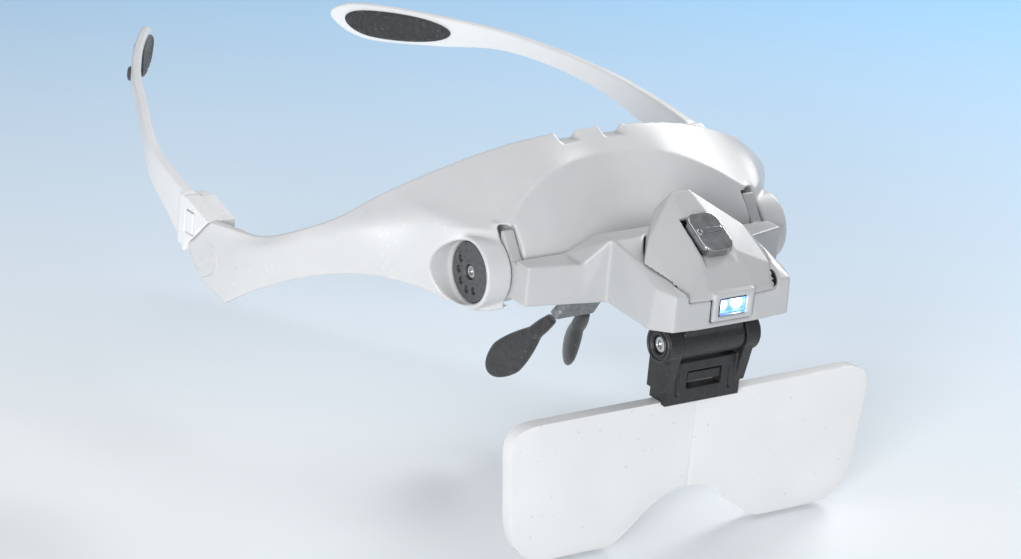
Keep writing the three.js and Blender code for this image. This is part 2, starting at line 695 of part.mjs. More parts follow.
addPiece('lens_hinge_block', hingeBlock(), blackPlastic);
addPiece('lens_bracket', lensBracket(), blackPlastic);
addPiece('lens_pivot_pin', bare(rodX(LENS_PIN_RADIUS, -12.1, 12.1, LENS_PIVOT.y, LENS_PIVOT.z, 20)), steel);
addPair('lens_pivot_screw', bare(rodX(2, 12.25, 13.2, LENS_PIVOT.y, LENS_PIVOT.z, 20)), steel);
addPiece('lens_latch', bare(block(
  [-4.8, BRACKET_FRONT_Y + 0.3, 4.7], [4.8, TAB_FRONT_Y - GAP, 7.1],
)), blackPlastic);

// ---------------------------------------------------------------- magnifier plate

function lensOutline() {
  const shape = new THREE.Shape();
  const bottom = -LENS_HEIGHT;
  const notchTop = bottom + LENS_NOTCH_HEIGHT;
  shape.moveTo(-LENS_TOP_HALF, 0);
  shape.bezierCurveTo(-51, 0, -LENS_HALF_WIDTH, -1.5, -LENS_HALF_WIDTH, -6.5);
  shape.lineTo(-LENS_SIDE_X, -22);
  shape.bezierCurveTo(-50.5, -32, -46.6, bottom, -39, bottom);
  shape.lineTo(-24, bottom);
  shape.bezierCurveTo(-16, bottom, -12, notchTop, 0, notchTop);
  shape.bezierCurveTo(12, notchTop, 16, bottom, 24, bottom);
  shape.lineTo(39, bottom);
  shape.bezierCurveTo(46.6, bottom, 50.5, -32, LENS_SIDE_X, -22);
  shape.lineTo(LENS_HALF_WIDTH, -6.5);
  shape.bezierCurveTo(LENS_HALF_WIDTH, -1.5, 51, 0, LENS_TOP_HALF, 0);
  return shape;
}

function magnifierPlate() {
  const plate = plateXZ(lensOutline(), LENS_FRONT_Y, LENS_THICKNESS).translate(0, 0, LENS_TOP_Z);
  const tab = block(
    [-TAB_HALF_WIDTH, TAB_FRONT_Y, -2], [TAB_HALF_WIDTH, TAB_FRONT_Y + TAB_THICKNESS, TAB_HEIGHT],
  );
  return carve([plate, tab]);
}

addPiece('magnifier_lens', magnifierPlate(), clearPlastic);

// ---------------------------------------------------------------- temple hinge, adapter and temple

// Socket for the temple's tongue, and the place of the release latch in the adapter's outer wall.
const TONGUE = { innerX: 73.2, outerX: 75.4, lowZ: 13.5, highZ: 20.5, frontY: 99.5 };
const LATCH = { lowY: 101.5, highY: 105.2, lowZ: 15.6, highZ: 21, innerX: 77.8 };

function adapter() {
  const side = polygon([
    [SEAM.topY + 0.5, SEAM.topZ], [TEMPLE_ROOT_Y, TEMPLE_ROOT_TOP_Z], [TEMPLE_ROOT_Y, TEMPLE_ROOT_LOW_Z],
    [SEAM.lowY + 2.1, TEMPLE_ROOT_LOW_Z], [SEAM.lowY + 0.5, SEAM.lowZ],
  ]);
  const inner = polygon([
    [95.6, 21], [TEMPLE_ROOT_Y, 23.9], [TEMPLE_ROOT_Y, 11.6], [95.6, 11.2],
  ]);
  const link = block([HINGE.x - 2, HINGE.y, KNUCKLE.lowZ], [HINGE.x + 2, 97, KNUCKLE.highZ]);
  const knuckle = rodZ(KNUCKLE_RADIUS, HINGE.x, HINGE.y, KNUCKLE.lowZ, KNUCKLE.highZ, 24);
  const shellRoom = block([75, 80, 0], [78, SEAM.topY + 0.4, 30]);
  const socket = block(
    [TONGUE.innerX - GAP, TONGUE.frontY - GAP, TONGUE.lowZ - GAP],
    [TONGUE.outerX + GAP, TEMPLE_ROOT_Y + 1, TONGUE.highZ + GAP],
  );
  const latchRoom = block(
    [LATCH.innerX - 1.2, LATCH.lowY - GAP, LATCH.lowZ - GAP],
    [90, LATCH.highY + GAP, LATCH.highZ + GAP],
  );
  return carve(
    [plateYZ(side, 75.9, SIDE_OUTER_X), plateYZ(inner, 71.4, 76), link, knuckle],
    [shellRoom, socket, latchRoom, rodZ(1.3, HINGE.x, HINGE.y, 0, 30, 20)],
  );
}

// The temple's top edge, its height and its thickness, from the root to the tip.
const TEMPLE_STATIONS = [
  { x: 79.3, y: TEMPLE_ROOT_Y + 1.8, top: TEMPLE_ROOT_TOP_Z, height: 13.2, thickness: 4 },
  { x: 78.2, y: 117, top: 26, height: 10.2, thickness: 3.4 },
  { x: 75.9, y: 129.5, top: 28, height: 7.9, thickness: 2.9 },
  { x: 72.3, y: 139.5, top: 29.9, height: 6.2, thickness: 2.6 },
  { x: 66, y: 153.5, top: 32, height: 5.2, thickness: 2.5 },
  { x: 58.8, y: 169, top: 33.2, height: 5.6, thickness: 2.5 },
  { x: 48.9, y: 186, top: 33.4, height: 8.8, thickness: 2.6 },
  { x: 37.7, y: 202, top: 33, height: 10.2, thickness: 2.6 },
  { x: 30.2, y: 211.5, top: 31.6, height: 6, thickness: 2 },
];

const templeTop = new THREE.CatmullRomCurve3(
  TEMPLE_STATIONS.map(({ x, y, top }) => new THREE.Vector3(x, y, top)),
);
const templeSize = new THREE.CatmullRomCurve3(
  TEMPLE_STATIONS.map(({ height, thickness }, i) => new THREE.Vector3(i * 20, height, thickness)),
);

function templeBody() {
  return bentBlock(36, 3, 1, (u, v, w) => {
    const top = templeTop.getPoint(u);
    const size = templeSize.getPoint(u);
    const along = templeTop.getTangent(u).setZ(0).normalize();
    const outward = new THREE.Vector3(along.y, -along.x, 0);
    return top
      .addScaledVector(outward, -size.z * (1 - w))
      .add(new THREE.Vector3(0, 0, -size.y * (1 - v)));
  });
}

// An oval cushion that follows the temple's inner face near the tip.
function templePad() {
  return bentBlock(14, 6, 1, (u, v, w) => {
    const s = 2 * u - 1;
    const t = 2 * v - 1;
    const alongPad = s * Math.sqrt(1 - (t * t) / 2);
    const acrossPad = t * Math.sqrt(1 - (s * s) / 2);
    const station = PAD.middle + PAD.halfSpan * alongPad;
    const size = templeSize.getPoint(station);
    const along = templeTop.getTangent(station).setZ(0).normalize();
    const outward = new THREE.Vector3(along.y, -along.x, 0);
    const inset = size.z + GAP + PAD.thickness * (1 - w);
    const point = templeTop.getPoint(station).addScaledVector(outward, -inset);
    point.z += PAD.halfHeight * acrossPad - size.y / 2;
    return point;
  });
}

function temple() {
  const tongue = block(
    [TONGUE.innerX, TONGUE.frontY, TONGUE.lowZ],
    [TONGUE.outerX, TEMPLE_ROOT_Y + 3, TONGUE.highZ],
  );
  const rootY = TEMPLE_ROOT_Y + 0.3;
  const collar = block(
    [72.6, rootY, TEMPLE_ROOT_LOW_Z + 0.8], [SIDE_OUTER_X - 0.5, rootY + 2.6, TEMPLE_ROOT_TOP_Z - 0.5],
  );
  return carve([flipIfInsideOut(templeBody()), tongue, collar]);
}

addPair('temple_adapter', adapter(), sidePlastic);
addPair('hinge_pin', bare(rodZ(1.15, HINGE.x, HINGE.y, HINGE.low, HINGE.high, 20)), steel);
addPair('release_latch', bare(block(
  [LATCH.innerX, LATCH.lowY, LATCH.lowZ],
  [SIDE_OUTER_X + 0.1, LATCH.highY, LATCH.highZ],
)), sidePlastic);
addPair('temple_arm', temple(), sidePlastic);
addPair('temple_pad', flipIfInsideOut(bare(templePad())), rubber);

// The origin: the middle of the plate's back, halfway between its top edge and its notch.
const ORIGIN = {
  y: LENS_FRONT_Y + LENS_THICKNESS,
  z: LENS_TOP_Z - (LENS_HEIGHT - LENS_NOTCH_HEIGHT) / 2,
};
assembly.position.set(0, -ORIGIN.y, -ORIGIN.z);

export default assembly;
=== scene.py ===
"""Looks of the head visor magnifier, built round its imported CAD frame.

Shapes are written in millimetres from the middle of the seat on the lens bracket, which the magnifier
plate's top edge comes up against. SEAT, read from the frame, carries them into the row frame in metres.
"""

import itertools
import json
import math

import bmesh
import bpy
import numpy as np
from mathutils import Matrix, Vector


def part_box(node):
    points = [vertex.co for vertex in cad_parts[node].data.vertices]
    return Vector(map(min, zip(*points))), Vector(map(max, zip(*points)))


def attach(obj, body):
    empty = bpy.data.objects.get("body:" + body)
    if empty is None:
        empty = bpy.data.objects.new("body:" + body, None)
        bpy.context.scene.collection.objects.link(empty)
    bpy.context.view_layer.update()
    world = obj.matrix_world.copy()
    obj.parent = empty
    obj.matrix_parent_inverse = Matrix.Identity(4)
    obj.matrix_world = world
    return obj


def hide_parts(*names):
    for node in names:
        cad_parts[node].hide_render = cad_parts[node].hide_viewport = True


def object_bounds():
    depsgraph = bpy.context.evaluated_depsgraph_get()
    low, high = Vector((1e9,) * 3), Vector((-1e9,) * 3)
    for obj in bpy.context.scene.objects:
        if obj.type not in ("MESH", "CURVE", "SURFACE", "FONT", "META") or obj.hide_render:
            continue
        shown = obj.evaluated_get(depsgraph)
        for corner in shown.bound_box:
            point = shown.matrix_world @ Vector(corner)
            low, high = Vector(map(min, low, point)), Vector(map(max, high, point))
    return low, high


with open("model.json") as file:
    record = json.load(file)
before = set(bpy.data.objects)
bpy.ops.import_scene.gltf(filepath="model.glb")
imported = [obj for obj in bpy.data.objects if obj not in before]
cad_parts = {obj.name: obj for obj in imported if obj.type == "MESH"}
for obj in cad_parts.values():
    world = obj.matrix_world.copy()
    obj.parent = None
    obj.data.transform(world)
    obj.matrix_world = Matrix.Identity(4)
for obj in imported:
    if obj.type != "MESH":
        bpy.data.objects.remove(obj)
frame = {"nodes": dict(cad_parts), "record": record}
CAD_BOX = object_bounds()

# ---------------------------------------------------------------- places and sizes from the frame

MM = 0.001
LENS_LOW, LENS_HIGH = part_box("magnifier_lens")
BRACKET_LOW, BRACKET_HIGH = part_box("lens_bracket")
DISC_LOW, DISC_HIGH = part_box("visor_pivot_disc_left")
PLATE_FRONT = -0.4  # the plate's front face, from the seat
BRACKET_LIP = 0.6  # how far the bracket's lip hangs below the seat
SEAT = Vector((0, LENS_LOW.y - PLATE_FRONT * MM, BRACKET_LOW.z + BRACKET_LIP * MM))


def middle_of(node):
    """Y and Z of the middle of a CAD node's box, in millimetres from the seat."""
    middle = (sum(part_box(node), Vector()) / 2 - SEAT) / MM
    return middle.y, middle.z


VISOR_PIVOT_Y, VISOR_PIVOT_Z = middle_of("visor_pivot_disc_left")
DISC_OUTER = DISC_HIGH.x / MM
DISC_RADIUS = (DISC_HIGH.z - DISC_LOW.z) / 2 / MM
BOSS_RADIUS = DISC_RADIUS + 1.5
BOSS_INNER, BOSS_OUTER = DISC_OUTER - 6.2, DISC_OUTER + 0.6
GAP = 0.3  # room round a part that moves or sits in a recess
MIRROR_X = np.array([-1, 1, 1])

BRACKET_OUTER = BRACKET_HIGH.x / MM
LENS_HALF = LENS_HIGH.x / MM
LENS_LOW_Z = (LENS_LOW.z - SEAT.z) / MM
LENS_TOP_Z = -0.15
LENS_THICKNESS = 3.5

BODIES = {node: body for body, nodes in frame["record"]["behaviour"]["bodies"].items() for node in nodes}
SHARP_ANGLE = 0.6  # radians: edges that turn by more than this stay sharp

# Voxel sizes in millimetres, from the largest mouldings to the smallest details.
SHELL_VOXEL = 0.38
TEMPLE_VOXEL = 0.3
MOULDING_VOXEL = 0.28
PART_VOXEL = 0.25
DETAIL_VOXEL = 0.2
SWITCH_VOXEL = 0.16


def in_row(points):
    """Points in millimetres from the seat, carried into the row frame."""
    return np.asarray(points, float) * MM + np.array(SEAT)


# ---------------------------------------------------------------- mesh helpers

def new_object(name, verts, faces):
    mesh = bpy.data.meshes.new(name)
    mesh.from_pydata([tuple(v) for v in in_row(verts)], [], [tuple(f) for f in faces])
    mesh.validate()
    obj = bpy.data.objects.new(name, mesh)
    bpy.context.scene.collection.objects.link(obj)
    face_outwards(obj)
    return obj


def face_outwards(obj):
    bm = bmesh.new()
    bm.from_mesh(obj.data)
    bmesh.ops.recalc_face_normals(bm, faces=bm.faces)
    bm.to_mesh(obj.data)
    bm.free()


def cad_copy(node, name):
    """A closed copy of a CAD node's mesh, with the vertices that its export split joined again."""
    obj = bpy.data.objects.new(name, frame["nodes"][node].data.copy())
    bpy.context.scene.collection.objects.link(obj)
    obj.data.materials.clear()
    bm = bmesh.new()
    bm.from_mesh(obj.data)
    bmesh.ops.remove_doubles(bm, verts=bm.verts, dist=1e-6)
    bm.to_mesh(obj.data)
    bm.free()
    return obj


def add_modifier(obj, kind, **settings):
    modifier = obj.modifiers.new(kind.lower(), kind)
    for key, value in settings.items():
        setattr(modifier, key, value)
    return modifier


def bake(obj):
    """Applies the modifiers."""
    graph = bpy.context.evaluated_depsgraph_get()
    mesh = bpy.data.meshes.new_from_object(obj.evaluated_get(graph), depsgraph=graph)
    old = obj.data
    obj.modifiers.clear()
    obj.data = mesh
    bpy.data.meshes.remove(old)
    return obj


def drop(objects):
    for obj in objects:
        bpy.data.objects.remove(obj)


def join(objects):
    """One object that holds the meshes of all of them."""
    bm = bmesh.new()
    for obj in objects:
        bm.from_mesh(obj.data)
    bm.to_mesh(objects[0].data)
    bm.free()
    drop(objects[1:])
    return objects[0]


def remeshed(obj, voxel):
    add_modifier(obj, "REMESH", mode="VOXEL", voxel_size=voxel * MM)
    return bake(obj)


def combine(obj, operation, others):
    for other in others:
        add_modifier(obj, "BOOLEAN", operation=operation, object=other, solver="EXACT")
        bake(obj)
    drop(others)
    return obj


def cut(obj, cutters):
    return combine(obj, "DIFFERENCE", cutters)


def softened(obj, rounds):
    add_modifier(obj, "SMOOTH", factor=0.5, iterations=rounds)
    return bake(obj)


def shade_smooth(obj):
    for polygon in obj.data.polygons:
        polygon.use_smooth = True


def keep_sharp_edges(obj):
    obj.data.set_sharp_from_angle(angle=SHARP_ANGLE)


def finish_piece(obj, node, material):
    """Sets the piece's material and body, and hides the CAD node that it stands for."""
    obj.data.materials.clear()
    shade_smooth(obj)
    finish_extra(obj, node, material)
    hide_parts(node)
    return obj


def finish_extra(obj, node, material):
    """Sets the material and body of a detail that stands for no CAD node: it rides with node."""
    obj.data.materials.append(material)
    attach(obj, BODIES[node])
    return obj


def moulded(node, material, voxel, rounds):
    """A CAD node with the soft edges of a moulding."""
    obj = cad_copy(node, f"look_{node}")
    remeshed(obj, voxel)
    softened(obj, rounds)
    return finish_piece(obj, node, material)


def box(low, high):
    corners = list(itertools.product(*zip(low, high)))
    faces = [(0, 1, 3, 2), (4, 6, 7, 5), (0, 4, 5, 1), (2, 3, 7, 6), (0, 2, 6, 4), (1, 5, 7, 3)]
    return new_object("box", corners, faces)


def rod(radius, start, end, y, z):
    """A cylinder along X."""
    return turned([(0, start), (radius, start), (radius, end), (0, end)], (0, y, z))


def tube_faces(rings, count, loop=False):
    """Faces over rings of count points each: a tube with closed ends, or one joined into a loop."""
    faces = []
    for ring in range(rings if loop else rings - 1):
        ahead = (ring + 1) % rings
        for k in range(count):
            n = (k + 1) % count
            faces.append((ring * count + k, ring * count + n, ahead * count + n, ahead * count + k))
    if not loop:
        faces.append(tuple(range(count)))
        faces.append(tuple(range((rings - 1) * count, rings * count))[::-1])
    return faces


def turned(profile, centre, segments=96, axis="X"):
    """A body turned about an axis through centre: the profile lists radius and station, from axis to axis."""
    verts, faces, rings = [], [], []
    for radius, station in profile:
        if radius == 0:
            rings.append([len(verts)] * segments)
            verts.append((station, 0, 0))
            continue
        rings.append(list(range(len(verts), len(verts) + segments)))
        for i in range(segments):
            angle = 2 * math.pi * i / segments
            verts.append((station, radius * math.cos(angle), radius * math.sin(angle)))
    for a, b in zip(rings, rings[1:]):
        for i in range(segments):
            k = (i + 1) % segments
            face = list(dict.fromkeys([a[i], a[k], b[k], b[i]]))
            if len(face) > 2:
                faces.append(face)
    if axis == "Y":
        verts = [(y, x, z) for x, y, z in verts]
    if axis == "Z":
        verts = [(y, z, x) for x, y, z in verts]
    return new_object("turned", np.array(verts) + np.array(centre), faces)


def turned_ring(profile, centre, segments=96):
    """A ring about the X axis: the profile is a closed loop of radius and station."""
    verts = []
    for i in range(segments):
        angle = 2 * math.pi * i / segments
        c, s = math.cos(angle), math.sin(angle)
        verts += [(station, radius * c, radius * s) for radius, station in profile]
    faces = tube_faces(segments, len(profile), loop=True)
    return new_object("ring", np.array(verts) + np.array(centre), faces)


def prism(points, low, high, axis="X"):
    """A flat outline given a depth: in Y and Z along X, or in X and Z along Y."""
    count = len(points)
    verts = []
    for depth in (low, high):
        for a, b in points:
            verts.append((depth, a, b) if axis == "X" else (a, depth, b))
    faces = [list(range(count))[::-1], list(range(count, 2 * count))]
    faces += [(i, (i + 1) % count, count + (i + 1) % count, count + i) for i in range(count)]
    return new_object("prism", verts, faces)


def mirrored(obj, name):
    """A copy of a left piece, turned into the right one."""
    copy = bpy.data.objects.new(name, obj.data.copy())
    bpy.context.scene.collection.objects.link(copy)
    copy.data.transform(Matrix.Diagonal((-1, 1, 1, 1)))
    copy.data.flip_normals()
    return copy


def span(side, near, far):
    """Two distances from the middle as X values, low to high, on the left (side 1) or the right (side -1)."""
    return (near, far) if side > 0 else (-far, -near)


def catmull_rom(points, fractions):
    """The centripetal Catmull-Rom curve through points, at fractions of its whole run."""
    points = np.asarray(points, float)
    padded = np.vstack([2 * points[0] - points[1], points, 2 * points[-1] - points[-2]])
    place = np.clip(np.asarray(fractions, float), 0, 1) * (len(points) - 1)
    piece = np.minimum(place.astype(int), len(points) - 2)
    w = (place - piece)[:, None]
    a, b, c, d = (padded[piece + k] for k in range(4))
    step_a = np.sqrt(np.linalg.norm(b - a, axis=1))[:, None]
    step_b = np.sqrt(np.linalg.norm(c - b, axis=1))[:, None]
    step_c = np.sqrt(np.linalg.norm(d - c, axis=1))[:, None]
    out = ((b - a) / step_a - (c - a) / (step_a + step_b) + (c - b) / step_b) * step_b
    into = ((c - b) / step_b - (d - b) / (step_b + step_c) + (d - c) / step_c) * step_b
    return (
        b + out * w
        + (3 * (c - b) - 2 * out - into) * w**2
        + (2 * (b - c) + out + into) * w**3
    )


def grid_solid(name, outer, inner):
    """A closed skin between two grids of points."""
    rows, columns = outer.shape[:2]
    verts = np.vstack([outer.reshape(-1, 3), inner.reshape(-1, 3)])
    shift = rows * columns
    faces = []
    for r in range(rows - 1):
        for c in range(columns - 1):
            k = r * columns + c
            faces.append((k, k + 1, k + columns + 1, k + columns))
            faces.append((shift + k, shift + k + columns, shift + k + columns + 1, shift + k + 1))
    rim = [r * columns for r in range(rows)]
    rim += [(rows - 1) * columns + c for c in range(1, columns)]
    rim += [r * columns + columns - 1 for r in range(rows - 2, -1, -1)]
    rim += list(range(columns - 2, 0, -1))
    for i, k in enumerate(rim):
        n = rim[(i + 1) % len(rim)]
        faces.append((k, n, shift + n, shift + k))
    return new_object(name, verts, faces)


# ---------------------------------------------------------------- materials

class Nodes:
    """Shorthand for building one material's node tree."""

    def __init__(self, name):
        self.material = bpy.data.materials.new(name)
        self.material.use_nodes = True
        self.tree = self.material.node_tree
        self.shader = self.tree.nodes["Principled BSDF"]
        self.output = self.tree.nodes["Material Output"]
        self.place = self.add("ShaderNodeTexCoord").outputs["Object"]

    def add(self, kind, **inputs):
        node = self.tree.nodes.new(kind)
        for key, value in inputs.items():
            self.set(node, key, value)
        return node

    def set(self, node, key, value):
        """Gives an input, named or numbered, a fixed value or a link."""
        socket = node.inputs[key]
        if isinstance(value, bpy.types.NodeSocket):
            self.tree.links.new(value, socket)
        else:
            socket.default_value = value

    def noise(self, scale, detail=3.0, roughness=0.5):
        return self.add(
            "ShaderNodeTexNoise", Vector=self.place, Scale=scale, Detail=detail, Roughness=roughness,
        ).outputs["Fac"]

    def remap(self, value, low, high, out_low, out_high):
        node = self.add("ShaderNodeMapRange", Value=value)
        for key, number in zip(("From Min", "From Max", "To Min", "To Max"), (low, high, out_low, out_high)):
            self.set(node, key, number)
        return node.outputs["Result"]

    def mix(self, factor, first, second):
        node = self.add("ShaderNodeMix")
        node.data_type = "RGBA"
        for index, value in ((0, factor), (6, first), (7, second)):
            self.set(node, index, value)
        return node.outputs[2]

    def edges(self, low, high):
        """1 on convex edges and 0 elsewhere."""
        return self.remap(self.add("ShaderNodeNewGeometry").outputs["Pointiness"], low, high, 0.0, 1.0)

    def bump(self, height, distance, strength=1.0, below=None):
        node = self.add("ShaderNodeBump", Height=height, Distance=distance * MM, Strength=strength)
        if below is not None:
            self.set(node, "Normal", below)
        return node.outputs["Normal"]

    def surface(self, **inputs):
        for key, value in inputs.items():
            self.set(self.shader, key.replace("_", " "), value)
        return self.material


def grey(value, blue=0.0):
    """A grey of this brightness, with its blue raised by a share."""
    return (value, value * (1 + blue * 0.4), value * (1 + blue), 1.0)


def moulded_plastic(name, base, rough, grain, blue=0.02):
    """Spark-eroded moulded plastic: cloudy tone, fine grain, polished edges with a painted highlight on them,
    a few specks.
    """
    n = Nodes(name)
    cloud = n.noise(45.0, 4.0)
    mottle = n.noise(260.0, 3.0)
    tone = n.mix(n.remap(cloud, 0.3, 0.7, 0.0, 1.0), grey(base * 0.96, blue), grey(base * 1.03, blue))
    tone = n.mix(n.remap(mottle, 0.35, 0.75, 0.0, 0.35), tone, grey(base * 0.94, blue * 1.5))
    specks = n.remap(n.noise(900.0, 1.0), 0.775, 0.79, 0.0, 0.3)
    tone = n.mix(specks, tone, grey(base * 0.55))
    edge = n.edges(0.53, 0.62)
    # Painted highlight: convex edges turn a lighter grey, standing in for light caught on them.
    tone = n.mix(n.remap(edge, 0.0, 1.0, 0.0, 0.25), tone, grey(min(base * 1.25, 0.95), blue))
    shine = n.remap(n.noise(120.0, 4.0), 0.3, 0.7, rough - 0.05, rough + 0.06)
    polished = n.add("ShaderNodeMath", Value=shine)
    polished.operation = "SUBTRACT"
    n.set(polished, 1, n.remap(edge, 0.0, 1.0, 0.0, 0.08))
    fine = n.bump(n.noise(5200.0, 2.0), grain, 0.5)
    waves = n.bump(n.noise(160.0, 2.0), grain * 2.0, 0.25, fine)
    return n.surface(
        Base_Color=tone, Roughness=polished.outputs[0], Normal=waves,
        Coat_Weight=0.08, Coat_Roughness=0.25, Subsurface_Weight=0.04, Subsurface_Scale=0.8 * MM,
    )


def dark_plastic(name, base, rough, grain):
    """Grainy dark plastic with a painted highlight on its convex edges."""
    n = Nodes(name)
    dust = n.remap(n.noise(900.0, 5.0, 0.7), 0.35, 0.75, 0.0, 1.0)
    tone = n.mix(dust, grey(base * 0.7, 0.05), grey(base * 1.5, 0.06))
    edge = n.edges(0.52, 0.60)
    # Painted highlight: convex edges turn much paler, standing in for light caught on them.
    tone = n.mix(n.remap(edge, 0.0, 1.0, 0.0, 0.5), tone, grey(base * 3.2, 0.05))
    shine = n.remap(n.noise(350.0, 4.0), 0.3, 0.7, rough - 0.1, rough + 0.1)
    fine = n.bump(n.noise(2600.0, 3.0, 0.65), grain, 0.7)
    return n.surface(Base_Color=tone, Roughness=shine, Normal=fine)


def rubber_finish():
    """Soft dark dusty rubber with a painted highlight on its ridges."""
    n = Nodes("soft_rubber")
    dust = n.remap(n.noise(700.0, 6.0, 0.7), 0.3, 0.75, 0.0, 1.0)
    tone = n.mix(dust, grey(0.022, 0.05), grey(0.055, 0.08))
    edge = n.edges(0.53, 0.62)
    # Painted highlight: ridges and other convex edges turn paler, standing in for light caught on them.
    tone = n.mix(n.remap(edge, 0.0, 1.0, 0.0, 0.6), tone, grey(0.11, 0.08))
    fine = n.bump(n.noise(3200.0, 3.0, 0.7), 0.05, 0.8)
    return n.surface(Base_Color=tone, Roughness=0.72, Normal=fine, Sheen_Weight=0.25, Sheen_Roughness=0.5)


def clear_acrylic():
    """Moulded clear plate: slightly milky, with faint waves and specks."""
    n = Nodes("clear_acrylic")
    waves = n.bump(n.noise(60.0, 2.0), 0.05, 0.3)
    haze = n.remap(n.noise(90.0, 4.0), 0.3, 0.7, 0.04, 0.16)
    clear = (0.90, 0.93, 0.95, 1.0)
    n.surface(Base_Color=clear, Roughness=haze, IOR=1.49, Transmission_Weight=1.0, Normal=waves)
    milk = n.add("ShaderNodeBsdfPrincipled")
    specks = n.remap(n.noise(800.0, 1.0), 0.74, 0.77, 0.0, 0.5)
    n.set(milk, "Base Color", n.mix(specks, (0.95, 0.95, 0.95, 1.0), (0.60, 0.61, 0.62, 1.0)))
    n.set(milk, "Roughness", 0.22)
    blend = n.add("ShaderNodeMixShader")
    n.set(blend, 0, n.remap(n.noise(25.0, 2.0), 0.3, 0.7, 0.68, 0.80))
    n.tree.links.new(n.shader.outputs[0], blend.inputs[1])
    n.tree.links.new(milk.outputs[0], blend.inputs[2])
    n.tree.links.new(blend.outputs[0], n.output.inputs[0])
    return n.material


def metal(name, base, rough, streaks):
    """Turned or plated metal with fine streaks and small scratches."""
    n = Nodes(name)
    mapping = n.add("ShaderNodeMapping", Vector=n.place, Scale=(streaks, 1.0, streaks))
    lines = n.add("ShaderNodeTexNoise", Vector=mapping.outputs[0], Scale=420.0, Detail=4.0).outputs["Fac"]
    tone = n.mix(n.remap(lines, 0.3, 0.7, 0.0, 1.0), grey(base * 0.8, 0.02), grey(base * 1.1, 0.03))
    shine = n.remap(n.noise(600.0, 5.0), 0.3, 0.7, rough * 0.7, rough * 1.5)
    fine = n.bump(lines, 0.02, 0.35)
    return n.surface(Base_Color=tone, Metallic=1.0, Roughness=shine, Normal=fine)


def led_glow():
    """The lit lens of an LED: white in the middle and blue round it."""
    n = Nodes("led")
    facing = n.add("ShaderNodeLayerWeight", Blend=0.35).outputs["Facing"]
    tone = n.mix(n.remap(facing, 0.15, 0.75, 0.0, 1.0), (1.0, 1.0, 1.0, 1.0), (0.12, 0.38, 1.0, 1.0))
    fine = n.bump(n.noise(1800.0), 0.02, 0.3)
    return n.surface(Base_Color=tone, Roughness=0.15, Emission_Color=tone, Emission_Strength=2.6, Normal=fine)


def painted_glow_reflector():
    """Satin cup behind the LEDs that glows blue: painted light from the LEDs."""
    n = Nodes("lamp_cup")
    tone = n.mix(n.remap(n.noise(500.0), 0.3, 0.7, 0.0, 1.0), (0.10, 0.28, 0.85, 1.0), (0.35, 0.60, 1.0, 1.0))
    # Painted light: the cup emits its own blue, standing in for the LEDs' light falling on it.
    return n.surface(Base_Color=tone, Roughness=0.3, Emission_Color=tone, Emission_Strength=0.6)


def clear_window():
    """Polished clear plastic."""
    n = Nodes("lamp_window_clear")
    waves = n.bump(n.noise(300.0), 0.02, 0.2)
    clear = (0.93, 0.96, 1.0, 1.0)
    return n.surface(Base_Color=clear, Roughness=0.03, IOR=1.45, Transmission_Weight=1.0, Normal=waves)


def circuit_board():
    """Green solder mask with copper tracks."""
    n = Nodes("circuit_board")
    bricks = n.add("ShaderNodeTexBrick", Vector=n.place, Scale=260.0)
    tone = n.mix(bricks.outputs["Fac"], (0.03, 0.16, 0.07, 1.0), (0.30, 0.18, 0.06, 1.0))
    return n.surface(Base_Color=tone, Roughness=0.4, Normal=n.bump(bricks.outputs["Fac"], 0.03, 0.5))


FRONT = moulded_plastic("front_plastic", 0.62, 0.38, 0.03)
VISOR = moulded_plastic("visor_plastic", 0.50, 0.34, 0.03)
SIDE = moulded_plastic("side_plastic", 0.84, 0.32, 0.015, blue=0.01)
BLACK = dark_plastic("black_plastic", 0.018, 0.42, 0.06)
# Painted light: the disc's black plastic is made lighter than the bracket's, standing in for light on its
# glossy face.
DISC_BLACK = dark_plastic("disc_plastic", 0.075, 0.32, 0.04)
NOSE_GREY = dark_plastic("nose_plastic", 0.20, 0.60, 0.05)
RUBBER = rubber_finish()
ACRYLIC = clear_acrylic()
WINDOW = clear_window()
STEEL = metal("steel", 0.62, 0.22, 6.0)
CHROME = metal("dark_chrome", 0.42, 0.10, 1.0)
LED = led_glow()
CUP = painted_glow_reflector()
BOARD = circuit_board()

# ---------------------------------------------------------------- brow shell

# Four points of the outer skin at each station of the left half, from the bottom edge up:
# bottom edge, middle, crease of the front recess, top edge.
SHELL_STATIONS = np.array([
    [[0, 26.5, 17.5], [0, 30.5, 30], [0, 45.5, 45.6], [0, 52.7, 50]],
    [[17, 26, 17.5], [17, 28, 30], [16.8, 41.4, 45], [18, 52.4, 49.4]],
    [[27, 26, 17.5], [27.5, 27.2, 30], [27.5, 37.2, 41.4], [30, 53, 47.4]],
    [[35, 27, 17.5], [36, 28.3, 29.5], [37.5, 33.2, 36], [42, 55, 43.7]],
    [[44, 31, 16.4], [45, 33.5, 24], [44.8, 38, 35], [51, 57.5, 39.8]],
    [[51.5, 46, 18.2], [52.8, 46, 25.5], [54, 49.5, 33.5], [56.5, 60, 36.5]],
    [[59, 54.5, 18.9], [60.5, 55, 24], [62.3, 58, 30], [63.2, 63, 32]],
    [[66.5, 66.2, 15.6], [67.8, 66.5, 19.5], [69.2, 68, 24.5], [69, 69.5, 27.2]],
    [[73.5, 80.3, 8], [74.4, 79.8, 13.5], [75, 80.3, 19], [73.6, 81, 22]],
    [[77.4, 89, 2], [79.4, 97.5, 6], [80, 102.9, 13.1], [79.8, 94.5, 21.2]],
])
SHELL_THICKNESS = 2
CREASE_REACH = (40, 50)  # the recess's crease is sharp up to the first X and gone at the second
HINGE = {"x": 72.4, "y": 92, "low": 7.5, "high": 18.6, "bore": 1.3, "top": 30}
LUG = {"inside": 3, "outside": 4, "half_width": 3, "height": 2, "gap": 0.5}  # round the hinge pin's middle
